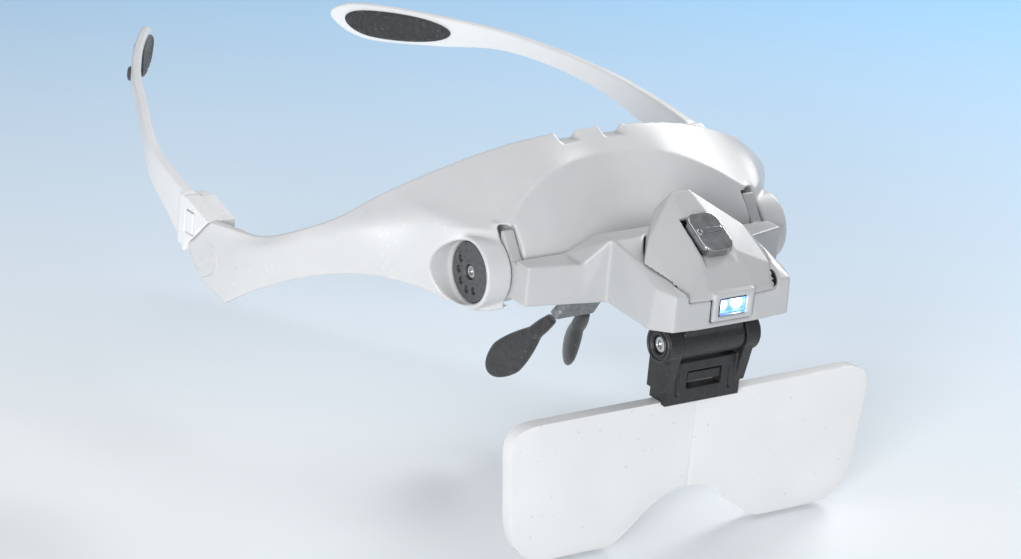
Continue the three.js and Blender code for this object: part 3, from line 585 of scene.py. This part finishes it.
SEAM = {"top": (94.5, 21.2), "low": (102.9, 13.1), "foot": (104.4, 9.1), "back": 112, "across": (70, 90)}
TOP_NOTCH = {"near": 3.6, "far": 9.7, "front": 45, "low": 48, "size": (15, 12)}
SIDE_CAP = {"y": 97.3, "z": 10.9, "radius": 4.7, "thickness": 0.32, "from_degrees": 95, "sweep_degrees": 172}
RECESS = {"floor": 2.3, "step": 2.4, "lip": 3.0, "depth": 14}  # the disc's room, inwards and then outwards
EAR_SLOT = {"across": (33.9, 38.2), "radius": 8.7, "reach": 11.2, "from": 0.36 * math.pi, "to": 1.3 * math.pi}
EAR_HOOD = {"angles": (-0.05 * math.pi, 0.53 * math.pi), "wall": 0.6, "cheek": 1.0}
BOSS_PLUG = {"share": (0.6, 0.86), "skin": 0.15, "depth": 8, "outer": 55}
HUB = {"radius": 3.3, "across": (30, 60)}


def shell_skin(columns=420, rows=72):
    """The outer skin as a grid of points, from the right end to the left and from the bottom edge up."""
    mirror = SHELL_STATIONS[:0:-1] * MIRROR_X
    stations = np.concatenate([mirror, SHELL_STATIONS])
    along = np.linspace(0, 1, columns)
    rails = np.stack([catmull_rom(stations[:, row], along) for row in range(4)], axis=1)
    up = np.linspace(0, 1, rows)
    lower = np.clip(up * 1.5, 0, 1)
    upper = np.clip(up * 3 - 2, 0, 1)[:, None]
    skin = np.empty((columns, rows, 3))
    for i, rail in enumerate(rails):
        soft = catmull_rom(rail, up)
        below = catmull_rom(rail[:3], lower)
        creased = np.where(upper > 0, rail[2] + (rail[3] - rail[2]) * upper, below)
        low, high = CREASE_REACH
        fade = np.clip((high - abs(rail[2][0])) / (high - low), 0, 1)
        fade = fade * fade * (3 - 2 * fade)
        skin[i] = soft + (creased - soft) * fade
    return skin


def shell_grid():
    """The outer skin and its outward directions."""
    skin = shell_skin()
    normals = np.cross(np.gradient(skin, axis=0), np.gradient(skin, axis=1))
    normals /= np.linalg.norm(normals, axis=2)[:, :, None]
    return skin, normals


SHELL_SKIN, SHELL_NORMALS = shell_grid()


def arc_points(radius, start, end):
    """Points in Y and Z on an arc about the visor's pivot."""
    return [
        (VISOR_PIVOT_Y + radius * math.cos(angle), VISOR_PIVOT_Z + radius * math.sin(angle))
        for angle in np.linspace(start, end, 40)
    ]


def pivot_cutters(side):
    """Room for the ear plate with its horn, the disc and its hub."""
    y, z = VISOR_PIVOT_Y, VISOR_PIVOT_Z
    slot = span(side, *EAR_SLOT["across"])
    sweep = [(y, z)] + arc_points(EAR_SLOT["reach"], EAR_SLOT["from"], EAR_SLOT["to"])
    narrow, wide = DISC_RADIUS + GAP, DISC_RADIUS + 2 * GAP
    step, lip, depth = (RECESS[key] for key in ("step", "lip", "depth"))
    funnel = [(0, 0), (narrow, 0), (narrow, step), (wide, lip), (wide, depth), (0, depth)]
    floor = (side * (DISC_OUTER - RECESS["floor"]), y, z)
    return [
        rod(EAR_SLOT["radius"], *slot, y, z),
        prism(sweep, *slot),
        turned([(radius, side * station) for radius, station in funnel], floor),
        rod(HUB["radius"], *span(side, *HUB["across"]), y, z),
    ]


def ear_hood(side):
    """A curved wall behind the slot that the ear plate's horn swings in, with a cheek beside the slot."""
    start, end = EAR_HOOD["angles"]
    reach, thickness = EAR_SLOT["reach"], EAR_HOOD["wall"]
    low, high = EAR_SLOT["across"]
    outer = arc_points(reach + thickness, start, end)
    outline = arc_points(reach + 0.1, start, end) + outer[::-1]
    wall = prism(outline, *span(side, low - thickness, high + thickness))
    cheek = prism([(VISOR_PIVOT_Y, VISOR_PIVOT_Z)] + outer, *span(side, low - EAR_HOOD["cheek"], low))
    return join([wall, cheek])


def boss_plug(side):
    """The wall of the disc's recess where the arm's skin stands further out than the boss."""
    share = BOSS_PLUG["share"] if side > 0 else [1 - value for value in BOSS_PLUG["share"][::-1]]
    part = slice(*(int(value * len(SHELL_SKIN)) for value in share))
    skin, normals = SHELL_SKIN[part], SHELL_NORMALS[part]
    deep = grid_solid("plug", skin - normals * BOSS_PLUG["skin"], skin - normals * BOSS_PLUG["depth"])
    remeshed(deep, SHELL_VOXEL)
    core = rod(BOSS_RADIUS + 0.6, *span(side, BOSS_INNER, BOSS_PLUG["outer"]), VISOR_PIVOT_Y, VISOR_PIVOT_Z)
    return combine(deep, "INTERSECT", [core])


def hinge_cutters(side):
    """The pin's bore, and everything beyond the slanting seam between the arm and the adapter."""
    bore, top, back = HINGE["bore"], HINGE["top"], SEAM["back"]
    beyond = [
        SEAM["top"], (SEAM["top"][0], top), (back, top), (back, SEAM["foot"][1]), SEAM["foot"], SEAM["low"],
    ]
    return [
        turned([(0, 0), (bore, 0), (bore, top), (0, top)], (side * HINGE["x"], HINGE["y"], 0), 48, "Z"),
        prism(beyond, *span(side, *SEAM["across"])),
    ]


def lug(side, low):
    """One of the two eyes that hold the hinge pin."""
    near, far = span(side, HINGE["x"] - LUG["inside"], HINGE["x"] + LUG["outside"])
    front, back = HINGE["y"] - LUG["half_width"], HINGE["y"] + LUG["half_width"]
    return box((near, front, low), (far, back, low + LUG["height"]))


def top_notch(side):
    """A cutter for one of the two notches beside the tab at the brow's top."""
    near, far = span(side, TOP_NOTCH["near"], TOP_NOTCH["far"])
    front, low = TOP_NOTCH["front"], TOP_NOTCH["low"]
    depth, height = TOP_NOTCH["size"]
    return box((near, front, low), (far, front + depth, low + height))


def brow_shell():
    """The shell with its side pivots, hinge lugs and notches, remeshed as one soft moulding."""
    solids = [grid_solid("look_frame_shell", SHELL_SKIN, SHELL_SKIN - SHELL_NORMALS * SHELL_THICKNESS)]
    cutters = []
    for side in (1, -1):
        solids.append(rod(BOSS_RADIUS, *span(side, BOSS_INNER, BOSS_OUTER), VISOR_PIVOT_Y, VISOR_PIVOT_Z))
        solids += [boss_plug(side), ear_hood(side)]
        solids.append(lug(side, HINGE["low"] + LUG["gap"]))
        solids.append(lug(side, HINGE["high"] - LUG["gap"] - LUG["height"]))
        cutters += pivot_cutters(side) + hinge_cutters(side)
    cutters += [top_notch(side) for side in (1, -1)]
    shell = remeshed(join(solids), SHELL_VOXEL)
    cut(shell, cutters)
    remeshed(shell, SHELL_VOXEL)
    softened(shell, 3)
    return finish_piece(shell, "frame_shell", FRONT)


def side_cap_ring(side, name, turns=96, around=12):
    """A low bead that follows the arm's outer face along part of a circle."""
    outer = SHELL_SKIN.reshape(-1, 3)
    outer = outer[outer[:, 0] * side > 60]
    start, sweep = (math.radians(SIDE_CAP[key]) for key in ("from_degrees", "sweep_degrees"))
    verts = []
    for i in range(turns + 1):
        angle = start + sweep * i / turns
        y = SIDE_CAP["y"] + SIDE_CAP["radius"] * math.cos(angle)
        z = SIDE_CAP["z"] + SIDE_CAP["radius"] * math.sin(angle)
        near = np.argsort((outer[:, 1] - y) ** 2 + (outer[:, 2] - z) ** 2)[:8]
        x = outer[near, 0].mean()
        thick = SIDE_CAP["thickness"] * min(1, 8 * min(i, turns - i) / turns + 0.15)
        c, s = math.cos(angle), math.sin(angle)
        for k in range(around):
            turn = 2 * math.pi * k / around
            reach = thick * math.cos(turn)
            verts.append((x + thick * 0.6 * math.sin(turn), y + reach * c, z + reach * s))
    ring = new_object(f"look_side_cap_ring_{name}", verts, tube_faces(turns + 1, around))
    shade_smooth(ring)
    finish_extra(ring, "frame_shell", FRONT)


brow_shell()
side_cap_ring(1, "left")
side_cap_ring(-1, "right")

# ---------------------------------------------------------------- visor bar, lamp and bracket

# Mouldings that are the CAD's shape with softer edges: material, voxel size and smoothing rounds.
MOULDINGS = {
    "visor_bar": (VISOR, MOULDING_VOXEL, 14),
    "lamp_cover": (VISOR, MOULDING_VOXEL, 5),
    "switch_button": (CHROME, SWITCH_VOXEL, 9),
    "lens_bracket": (BLACK, DETAIL_VOXEL, 4),
    "lens_hinge_block": (BLACK, DETAIL_VOXEL, 4),
    "lens_latch": (BLACK, DETAIL_VOXEL, 4),
    "switch_body": (BLACK, 0.3, 2),
    "nose_bracket": (NOSE_GREY, PART_VOXEL, 6),
}
for hand in ("left", "right"):
    MOULDINGS[f"visor_pivot_disc_{hand}"] = (DISC_BLACK, DETAIL_VOXEL, 3)
    MOULDINGS[f"temple_adapter_{hand}"] = (SIDE, PART_VOXEL, 4)
    MOULDINGS[f"release_latch_{hand}"] = (SIDE, 0.2, 4)

for node, (material, voxel, rounds) in MOULDINGS.items():
    moulded(node, material, voxel, rounds)

EAR_RINGS = ((2.45, 3.05), (3.75, 4.35))  # inner and outer radius of each
EAR_RING = {"height": 0.3, "chamfer": 0.12}


def ear_rings():
    """Two low rings round each screw on the outer face of the bracket's ears."""
    y, z = middle_of("lens_pivot_pin")
    height, chamfer = EAR_RING["height"], EAR_RING["chamfer"]
    for side, hand in ((1, "left"), (-1, "right")):
        for index, (near, far) in enumerate(EAR_RINGS):
            profile = [
                (near, -height), (near, height - chamfer), (near + chamfer, height),
                (far - chamfer, height), (far, height - chamfer), (far, -height),
            ]
            profile = [(radius, side * station) for radius, station in profile]
            ring = turned_ring(profile, (side * BRACKET_OUTER, y, z))
            ring.name = f"look_bracket_ear_ring_{index}_{hand}"
            shade_smooth(ring)
            keep_sharp_edges(ring)
            finish_extra(ring, "lens_bracket", BLACK)


ear_rings()

# ---------------------------------------------------------------- lamp parts, pins and screws

LED_SHAPE = {"z": 26.3, "flange": 1.6, "dome": 1.4, "step": 0.6, "base": 0.7, "height": 1.5}
CUP_OUTER = {"half_width": 4.4, "low": 24.1, "high": 28.4, "depth": 1.9}
CUP_WALL = 0.4
CUP_BEHIND_COVER = 1.5  # from the cover's frontmost point


def led_lens(node):
    """A domed LED on its flange."""
    flange, dome, step, base = (LED_SHAPE[key] for key in ("flange", "dome", "step", "base"))
    rise = LED_SHAPE["height"] - base
    profile = [(0, 0), (flange, 0), (flange, -step), (dome, -base)]
    profile += [
        (dome * math.cos(angle), -base - rise * math.sin(angle))
        for angle in np.linspace(0.2, math.pi / 2, 12)[:-1]
    ]
    profile.append((0, -LED_SHAPE["height"]))
    low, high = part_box(node)
    x = ((low.x + high.x) / 2) / MM
    obj = turned(profile, (x, (high.y - SEAT.y) / MM, LED_SHAPE["z"]), 48, "Y")
    obj.name = f"look_{node}"
    finish_piece(obj, node, LED)


def lamp_cup():
    """The satin tray that the LEDs shine out of."""
    front = (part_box("lamp_cover")[0].y - SEAT.y) / MM + CUP_BEHIND_COVER
    half, low, high = (CUP_OUTER[key] for key in ("half_width", "low", "high"))
    tray = box((-half, front, low), (half, front + CUP_OUTER["depth"], high))
    tray.name = "look_lamp_cup"
    inside = half - CUP_WALL
    hollow = box((-inside, front - 1, low + CUP_WALL), (inside, front + 1.3, high - CUP_WALL))
    cut(tray, [hollow])
    finish_extra(tray, "led_left", CUP)


def plain(node, material):
    """A CAD node with small rounded edges."""
    obj = cad_copy(node, f"look_{node}")
    add_modifier(obj, "BEVEL", width=0.15 * MM, segments=2, limit_method="ANGLE", angle_limit=SHARP_ANGLE)
    bake(obj)
    finish_piece(obj, node, material)
    keep_sharp_edges(obj)


def screw(node, radius, depth, bore):
    """A turned screw head with a bevelled rim and a socket, along X."""
    low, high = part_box(node)
    side = 1 if low.x > 0 else -1
    outer = (high.x if side > 0 else low.x) / MM
    profile = [
        (0, -depth), (radius, -depth), (radius, -0.3), (radius - 0.12, -0.08), (radius - 0.35, 0),
        (bore + 0.12, 0), (bore, -0.1), (bore * 0.92, -0.55), (0, -0.62),
    ]
    obj = turned([(r, station * side) for r, station in profile], (outer, *middle_of(node)), 64)
    obj.name = f"look_{node}"
    finish_piece(obj, node, STEEL)
    keep_sharp_edges(obj)


lamp_cup()
plain("lamp_window", WINDOW)
plain("lamp_circuit_board", BOARD)
for node in ("coin_cell_lower", "coin_cell_upper", "lens_pivot_pin"):
    plain(node, STEEL)
for hand in ("left", "right"):
    led_lens(f"led_{hand}")
    plain(f"battery_contact_{hand}", STEEL)
    plain(f"hinge_pin_{hand}", STEEL)
    screw(f"visor_pivot_screw_{hand}", 1.6, 1.0, 0.8)
    screw(f"lens_pivot_screw_{hand}", 2.0, 0.9, 1.0)

# ---------------------------------------------------------------- magnifier plate

LENS_SIDE_X = 51.9
LENS_TOP_HALF = 45
NOTCH_HEIGHT = 12
GROOVE = {"half_width": 0.12, "depth": 0.18, "low": -40, "high": -0.6}
TAB = {"half_width": 7, "low": -2, "height": 7.5, "front": 1.3, "thickness": 1.7}
LARGEST_ROUNDED_FACE = 5e-5  # square metres: anything larger is one of the plate's flat sides


def bezier(a, b, c, d, steps=20):
    """Points on a cubic curve, without its last one."""
    t = np.linspace(0, 1, steps, endpoint=False)[:, None]
    a, b, c, d = map(np.array, (a, b, c, d))
    return a * (1 - t) ** 3 + 3 * b * t * (1 - t) ** 2 + 3 * c * t**2 * (1 - t) + d * t**3


def lens_outline():
    """The plate's outline in X and Z, from the seat: round shoulders, sloping sides, a nose notch."""
    low = LENS_LOW_Z - LENS_TOP_Z
    notch = low + NOTCH_HEIGHT
    half = LENS_HALF
    right = np.vstack([
        bezier((0, notch), (12, notch), (16, low), (24, low)),
        bezier((24, low), (29, low), (34, low), (39, low), 6),
        bezier((39, low), (46.6, low), (50.5, -32), (LENS_SIDE_X, -22)),
        bezier((LENS_SIDE_X, -22), (52.5, -16), (53, -11), (half, -6.5), 6),
        bezier((half, -6.5), (half, -1.5), (51, 0), (LENS_TOP_HALF, 0)),
    ])
    top = np.linspace(LENS_TOP_HALF, 0, 12, endpoint=False)
    right = np.vstack([right, np.column_stack([top, np.zeros(12)])])
    left = right[1:][::-1] * np.array([-1, 1])
    outline = np.vstack([right, [(0, 0)], left])
    outline[:, 1] += LENS_TOP_Z
    return outline


def magnifier_plate():
    """The clear plate with rounded edges, a fine groove between its two optical halves, and its tab."""
    plate = prism(lens_outline(), PLATE_FRONT, PLATE_FRONT + LENS_THICKNESS, "Y")
    plate.name = "look_magnifier_lens"
    half, bottom = GROOVE["half_width"], PLATE_FRONT + GROOVE["depth"]
    cut(plate, [box((-half, PLATE_FRONT - 1, GROOVE["low"]), (half, bottom, GROOVE["high"]))])
    half, back = TAB["half_width"], TAB["front"] + TAB["thickness"]
    combine(plate, "UNION", [box((-half, TAB["front"], TAB["low"]), (half, back, TAB["height"]))])
    add_modifier(plate, "BEVEL", width=0.45 * MM, segments=4, limit_method="ANGLE", angle_limit=0.9)
    bake(plate)
    finish_piece(plate, "magnifier_lens", ACRYLIC)
    for polygon in plate.data.polygons:
        polygon.use_smooth = polygon.area < LARGEST_ROUNDED_FACE
    plate.data.set_sharp_from_angle(angle=0.5)


magnifier_plate()

# ---------------------------------------------------------------- temples and their pads

# The outer face's top edge from the root to the tip (x, y, z), and the temple's height and thickness there.
TEMPLE_STATIONS = np.array([
    [79.3, 108, 24.4, 13.2, 4.0],
    [78.2, 117, 26.0, 10.2, 3.4],
    [75.9, 129.5, 28.0, 7.9, 2.9],
    [72.3, 139.5, 29.9, 6.2, 2.6],
    [66.0, 153.5, 32.0, 5.2, 2.5],
    [58.8, 169, 33.2, 5.6, 2.5],
    [48.9, 186, 33.4, 8.8, 2.6],
    [37.7, 202, 33.0, 10.2, 2.6],
    [30.2, 211.5, 31.6, 6.0, 2.0],
])
TIP_START = 0.93  # where the temple's round tip starts, as a share of its length
SQUARENESS = {"across": 0.45, "up": 0.28}  # exponents of the temple's section: 1 is an ellipse, 0 a rectangle
CHANNEL = {"depth": 0.25, "middle": 0.08, "width": 0.1}  # the middle and width as shares of the thickness
TONGUE = ((73.2, 99.5, 13.5), (75.4, 109.2, 20.5))
COLLAR = ((72.6, 106.5, 11.2), (79.3, 109.1, 23.9))
# The pad's middle and half span are shares of the temple's length.
PAD = {"middle": 0.835, "half_span": 0.115, "half_length": 13.5, "half_height": 3.9, "thickness": 1.1}
RIDGE = {"height": 0.34, "pitch": 1.55}
STUD_STATIONS = (0.70, 0.87)
STUD_PROFILE = ((1.9, -0.3), (1.9, 0.35), (1.55, 0.75), (0.9, 0.95), (0.05, 1.0))  # radius and reach outwards


def temple_frame(fractions):
    """Top edge, height, thickness and outward direction along the temple."""
    top = catmull_rom(TEMPLE_STATIONS[:, :3], fractions)
    count = len(TEMPLE_STATIONS)
    size = catmull_rom(np.column_stack([np.arange(count) * 20, TEMPLE_STATIONS[:, 3:]]), fractions)
    ahead = catmull_rom(TEMPLE_STATIONS[:, :3], np.clip(fractions + 1e-3, 0, 1))
    behind = catmull_rom(TEMPLE_STATIONS[:, :3], np.clip(fractions - 1e-3, 0, 1))
    along = (ahead - behind) * np.array([1, 1, 0])
    along /= np.linalg.norm(along, axis=1)[:, None]
    outward = np.column_stack([along[:, 1], -along[:, 0], np.zeros(len(along))])
    return top, size[:, 1], size[:, 2], outward


def temple_arm(rings=300, around=64):
    """The left temple: a swept rounded bar with a shallow channel along its top and a round tip."""
    u = 1 - (1 - np.linspace(0, 1, rings)) ** 1.15
    top, height, thick, outward = temple_frame(u)
    verts = []
    for i in range(rings):
        into_tip = max(0.0, (u[i] - TIP_START) / (1 - TIP_START))
        tip = 0.96 * math.sqrt(max(0.0, 1 - into_tip**2)) + 0.04
        centre = top[i] - outward[i] * thick[i] / 2 - np.array([0, 0, height[i] / 2])
        for k in range(around):
            angle = 2 * math.pi * k / around
            c, s = math.cos(angle), math.sin(angle)
            across = math.copysign(abs(c) ** SQUARENESS["across"], c) * thick[i] / 2
            up = math.copysign(abs(s) ** SQUARENESS["up"], s) * height[i] / 2 * tip
            away = (across / thick[i] - CHANNEL["middle"]) / CHANNEL["width"]
            channel = CHANNEL["depth"] * math.exp(-away**2) if s > 0 else 0
            verts.append(centre + outward[i] * across + np.array([0, 0, up - channel * min(1, tip)]))
    arm = new_object("look_temple_arm_left", verts, tube_faces(rings, around))
    arm = join([arm, box(*TONGUE), box(*COLLAR)])
    remeshed(arm, TEMPLE_VOXEL)
    softened(arm, 5)
    return arm


def pad_grid(rows=150, columns=56):
    """The pad's outer face and its back as grids: an oval with round ridges about its middle."""
    s, t = np.meshgrid(np.linspace(-1, 1, rows), np.linspace(-1, 1, columns), indexing="ij")
    along = s * np.sqrt(1 - t**2 / 2)
    across = t * np.sqrt(1 - s**2 / 2)
    station = PAD["middle"] + PAD["half_span"] * along
    top, height, thick, outward = temple_frame(station.ravel())
    reach = np.hypot(along * PAD["half_length"], across * PAD["half_height"])
    rim = np.clip((1 - np.hypot(along, across)) * 6, 0, 1)
    ridges = 0.5 + 0.5 * np.cos(reach * 2 * math.pi / RIDGE["pitch"])
    lift = PAD["thickness"] * (0.35 + 0.35 * np.sqrt(rim)) + RIDGE["height"] * ridges * rim
    base = top - outward * (thick + GAP * 0.5)[:, None]
    base[:, 2] += (PAD["half_height"] * across).ravel() - height / 2
    face = base - outward * lift.ravel()[:, None]
    return face.reshape(rows, columns, 3), base.reshape(rows, columns, 3)


def stud(name, fraction, count=40):
    """A round black stud on the left temple's outer face."""
    top, height, _, outward = (value[0] for value in temple_frame(np.array([fraction])))
    centre = top - np.array([0, 0, height * 0.5])
    tangent = np.array([-outward[1], outward[0], 0])
    verts = []
    for radius, reach in STUD_PROFILE:
        for k in range(count):
            angle = 2 * math.pi * k / count
            rim = tangent * radius * math.cos(angle) + np.array([0, 0, radius * math.sin(angle)])
            verts.append(centre + outward * reach + rim)
    return new_object(name, verts, tube_faces(len(STUD_PROFILE), count))


def temples():
    """Both temples, the right one a mirror image of the left, with their pads and studs."""
    arm = temple_arm()
    pad = grid_solid("look_temple_pad_left", *pad_grid())
    pieces = [
        ("left", arm, pad),
        ("right", mirrored(arm, "look_temple_arm_right"), mirrored(pad, "look_temple_pad_right")),
    ]
    for hand, piece, cushion in pieces:
        finish_piece(piece, f"temple_arm_{hand}", SIDE)
        finish_piece(cushion, f"temple_pad_{hand}", RUBBER)
    for index, fraction in enumerate(STUD_STATIONS):
        left = stud(f"look_temple_plug_{index}_left", fraction)
        right = mirrored(left, f"look_temple_plug_{index}_right")
        for hand, piece in (("left", left), ("right", right)):
            shade_smooth(piece)
            finish_extra(piece, f"temple_pad_{hand}", RUBBER)


temples()

# ---------------------------------------------------------------- nose pads

NOSE_PAD = {"top": (5.5, 54.2, -1.5), "bottom": (12.1, 67.2, -18.5), "faces": (0.85, -0.5, 0)}
PAD_NECK, PAD_DISH = 0.52, 0.35  # the share of its width a nose pad keeps at its top, and its hollow's depth
SLEEVE = {"from": (4.95, 52.1, 0.9), "to": (7.6, 58.4, -6.6), "radii": (1.45, 1.9, 2.0, 1.2)}


def sleeve(side, count=32):
    """The rubber neck that a pad's wire is pushed into."""
    start, end = (np.array(SLEEVE[key]) for key in ("from", "to"))
    along = (end - start) / np.linalg.norm(end - start)
    first = np.cross(along, (1, 0, 0))
    first /= np.linalg.norm(first)
    second = np.cross(along, first)
    radii, verts = SLEEVE["radii"], []
    for radius, share in zip(radii, np.linspace(0, 1, len(radii))):
        for angle in np.linspace(0, 2 * math.pi, count, endpoint=False):
            rim = radius * (math.cos(angle) * first + math.sin(angle) * second)
            verts.append((start + share * (end - start) + rim) * np.array([side, 1, 1]))
    return new_object("sleeve", verts, tube_faces(len(radii), count))


def drawn_to_drop(obj, side):
    """Narrows a pad towards its wire and dishes its face a little."""
    turn = np.array([side, 1, 1])
    top, bottom, faces = (np.array(NOSE_PAD[key]) * turn for key in ("top", "bottom", "faces"))
    half = np.linalg.norm(bottom - top) / 2
    along = (bottom - top) / (2 * half)
    face = faces - along * (faces @ along)
    face /= np.linalg.norm(face)
    across = np.cross(along, face)
    middle = in_row([(top + bottom) / 2])[0]
    for vertex in obj.data.vertices:
        place = (np.array(vertex.co) - middle) / MM
        share = place @ along / half
        width = PAD_NECK + (1 - PAD_NECK) * np.clip((share + 0.75) / 1.1, 0, 1)
        sideways = (place @ across) * (width - 1)
        dish = -PAD_DISH * math.exp(-((share - 0.25) / 0.45) ** 2 - ((place @ across) / 2.6) ** 2)
        push = dish if place @ face > 0 else 0
        vertex.co = middle + (place + across * sideways + face * push) * MM
    return obj


def nose_pads():
    """Soft drops on a rubber neck, with a dished face."""
    for side, hand in ((1, "left"), (-1, "right")):
        node = f"nose_pad_{hand}"
        obj = cad_copy(node, f"look_{node}")
        add_modifier(obj, "SUBSURF", levels=2, render_levels=2, subdivision_type="CATMULL_CLARK")
        bake(obj)
        obj = join([drawn_to_drop(obj, side), sleeve(side)])
        remeshed(obj, PART_VOXEL)
        softened(obj, 30)
        finish_piece(obj, node, RUBBER)


nose_pads()

# ---------------------------------------------------------------- stage, light and camera

FLOOR_Z = CAD_BOX[0].z - MM
CAMERA = {"azimuth": 37.0, "elevation": 20.63, "roll": 5.5, "distance": 0.900, "lens": 141.04}
AIM = in_row([(-60.3, -2.7, 39.0)])[0]

# The floor's colour: white near the camera and pale blue behind the object, along the line of sight.
FLOOR_FADE = {"from": 0.02, "to": 0.50}
FLOOR_NEAR = (0.93, 0.965, 0.99, 1.0)
FLOOR_FAR = (0.29, 0.56, 0.83, 1.0)
FLOOR_HALF = 4.0  # metres
WORLD_COLOUR, WORLD_STRENGTH = (0.93, 0.96, 1.0, 1.0), 0.40

# Area lights, in the row frame and metres: place, size and power. All of them point at LIT_POINT.
LIT_POINT = Vector((0, 0.05, 0.03))
LIGHTS = {
    "key": ((-0.86, -0.66, 0.24), 0.40, 9.4),
    "top": ((0.25, 0.00, 0.95), 0.50, 1.2),
    "rim": ((0.75, 0.42, 0.50), 0.35, 4.4),
}


def floor_finish():
    """Pale matt paper, bluer towards the back."""
    n = Nodes("floor_paper")
    azimuth = math.radians(CAMERA["azimuth"])
    away = n.add("ShaderNodeVectorMath")
    away.operation = "DOT_PRODUCT"
    n.tree.links.new(n.place, away.inputs[0])
    away.inputs[1].default_value = (math.sin(azimuth), math.cos(azimuth), 0)
    fade = n.remap(away.outputs["Value"], FLOOR_FADE["from"], FLOOR_FADE["to"], 0.0, 1.0)
    tone = n.mix(fade, FLOOR_NEAR, FLOOR_FAR)
    return n.surface(Base_Color=tone, Roughness=0.9, Normal=n.bump(n.noise(800.0), 0.02, 0.2))


def studio():
    """The floor, the soft surrounding light and the area lights."""
    mesh = bpy.data.meshes.new("floor")
    turns = ((-1, -1), (1, -1), (1, 1), (-1, 1))
    mesh.from_pydata([(x * FLOOR_HALF, y * FLOOR_HALF, FLOOR_Z) for x, y in turns], [], [(0, 1, 2, 3)])
    floor = bpy.data.objects.new("floor", mesh)
    bpy.context.scene.collection.objects.link(floor)
    floor.data.materials.append(floor_finish())
    world = bpy.data.worlds.new("studio")
    world.use_nodes = True
    background = world.node_tree.nodes["Background"]
    background.inputs["Color"].default_value = WORLD_COLOUR
    background.inputs["Strength"].default_value = WORLD_STRENGTH
    bpy.context.scene.world = world
    for name, (place, size, power) in LIGHTS.items():
        data = bpy.data.lights.new(name, "AREA")
        data.size = size
        data.energy = power
        lamp = bpy.data.objects.new(name, data)
        bpy.context.scene.collection.objects.link(lamp)
        lamp.location = place
        lamp.rotation_mode = "QUATERNION"
        lamp.rotation_quaternion = (LIT_POINT - lamp.location).to_track_quat("-Z", "Y")


def camera():
    """The camera, at the photo's angle."""
    azimuth, elevation = math.radians(CAMERA["azimuth"]), math.radians(CAMERA["elevation"])
    level = math.cos(elevation)
    forward = Vector((math.sin(azimuth) * level, math.cos(azimuth) * level, -math.sin(elevation)))
    data = bpy.data.cameras.new("camera")
    data.lens = CAMERA["lens"]
    data.sensor_width = 36
    data.clip_end = 20
    obj = bpy.data.objects.new("camera", data)
    bpy.context.scene.collection.objects.link(obj)
    obj.location = Vector(AIM) - forward * CAMERA["distance"]
    obj.rotation_mode = "QUATERNION"
    turn = forward.to_track_quat("-Z", "Y")
    roll = Matrix.Rotation(math.radians(CAMERA["roll"]), 3, -forward).to_quaternion()
    obj.rotation_quaternion = roll @ turn
    bpy.context.scene.camera = obj


studio()
camera()
bpy.context.scene.view_settings.view_transform = "Standard"
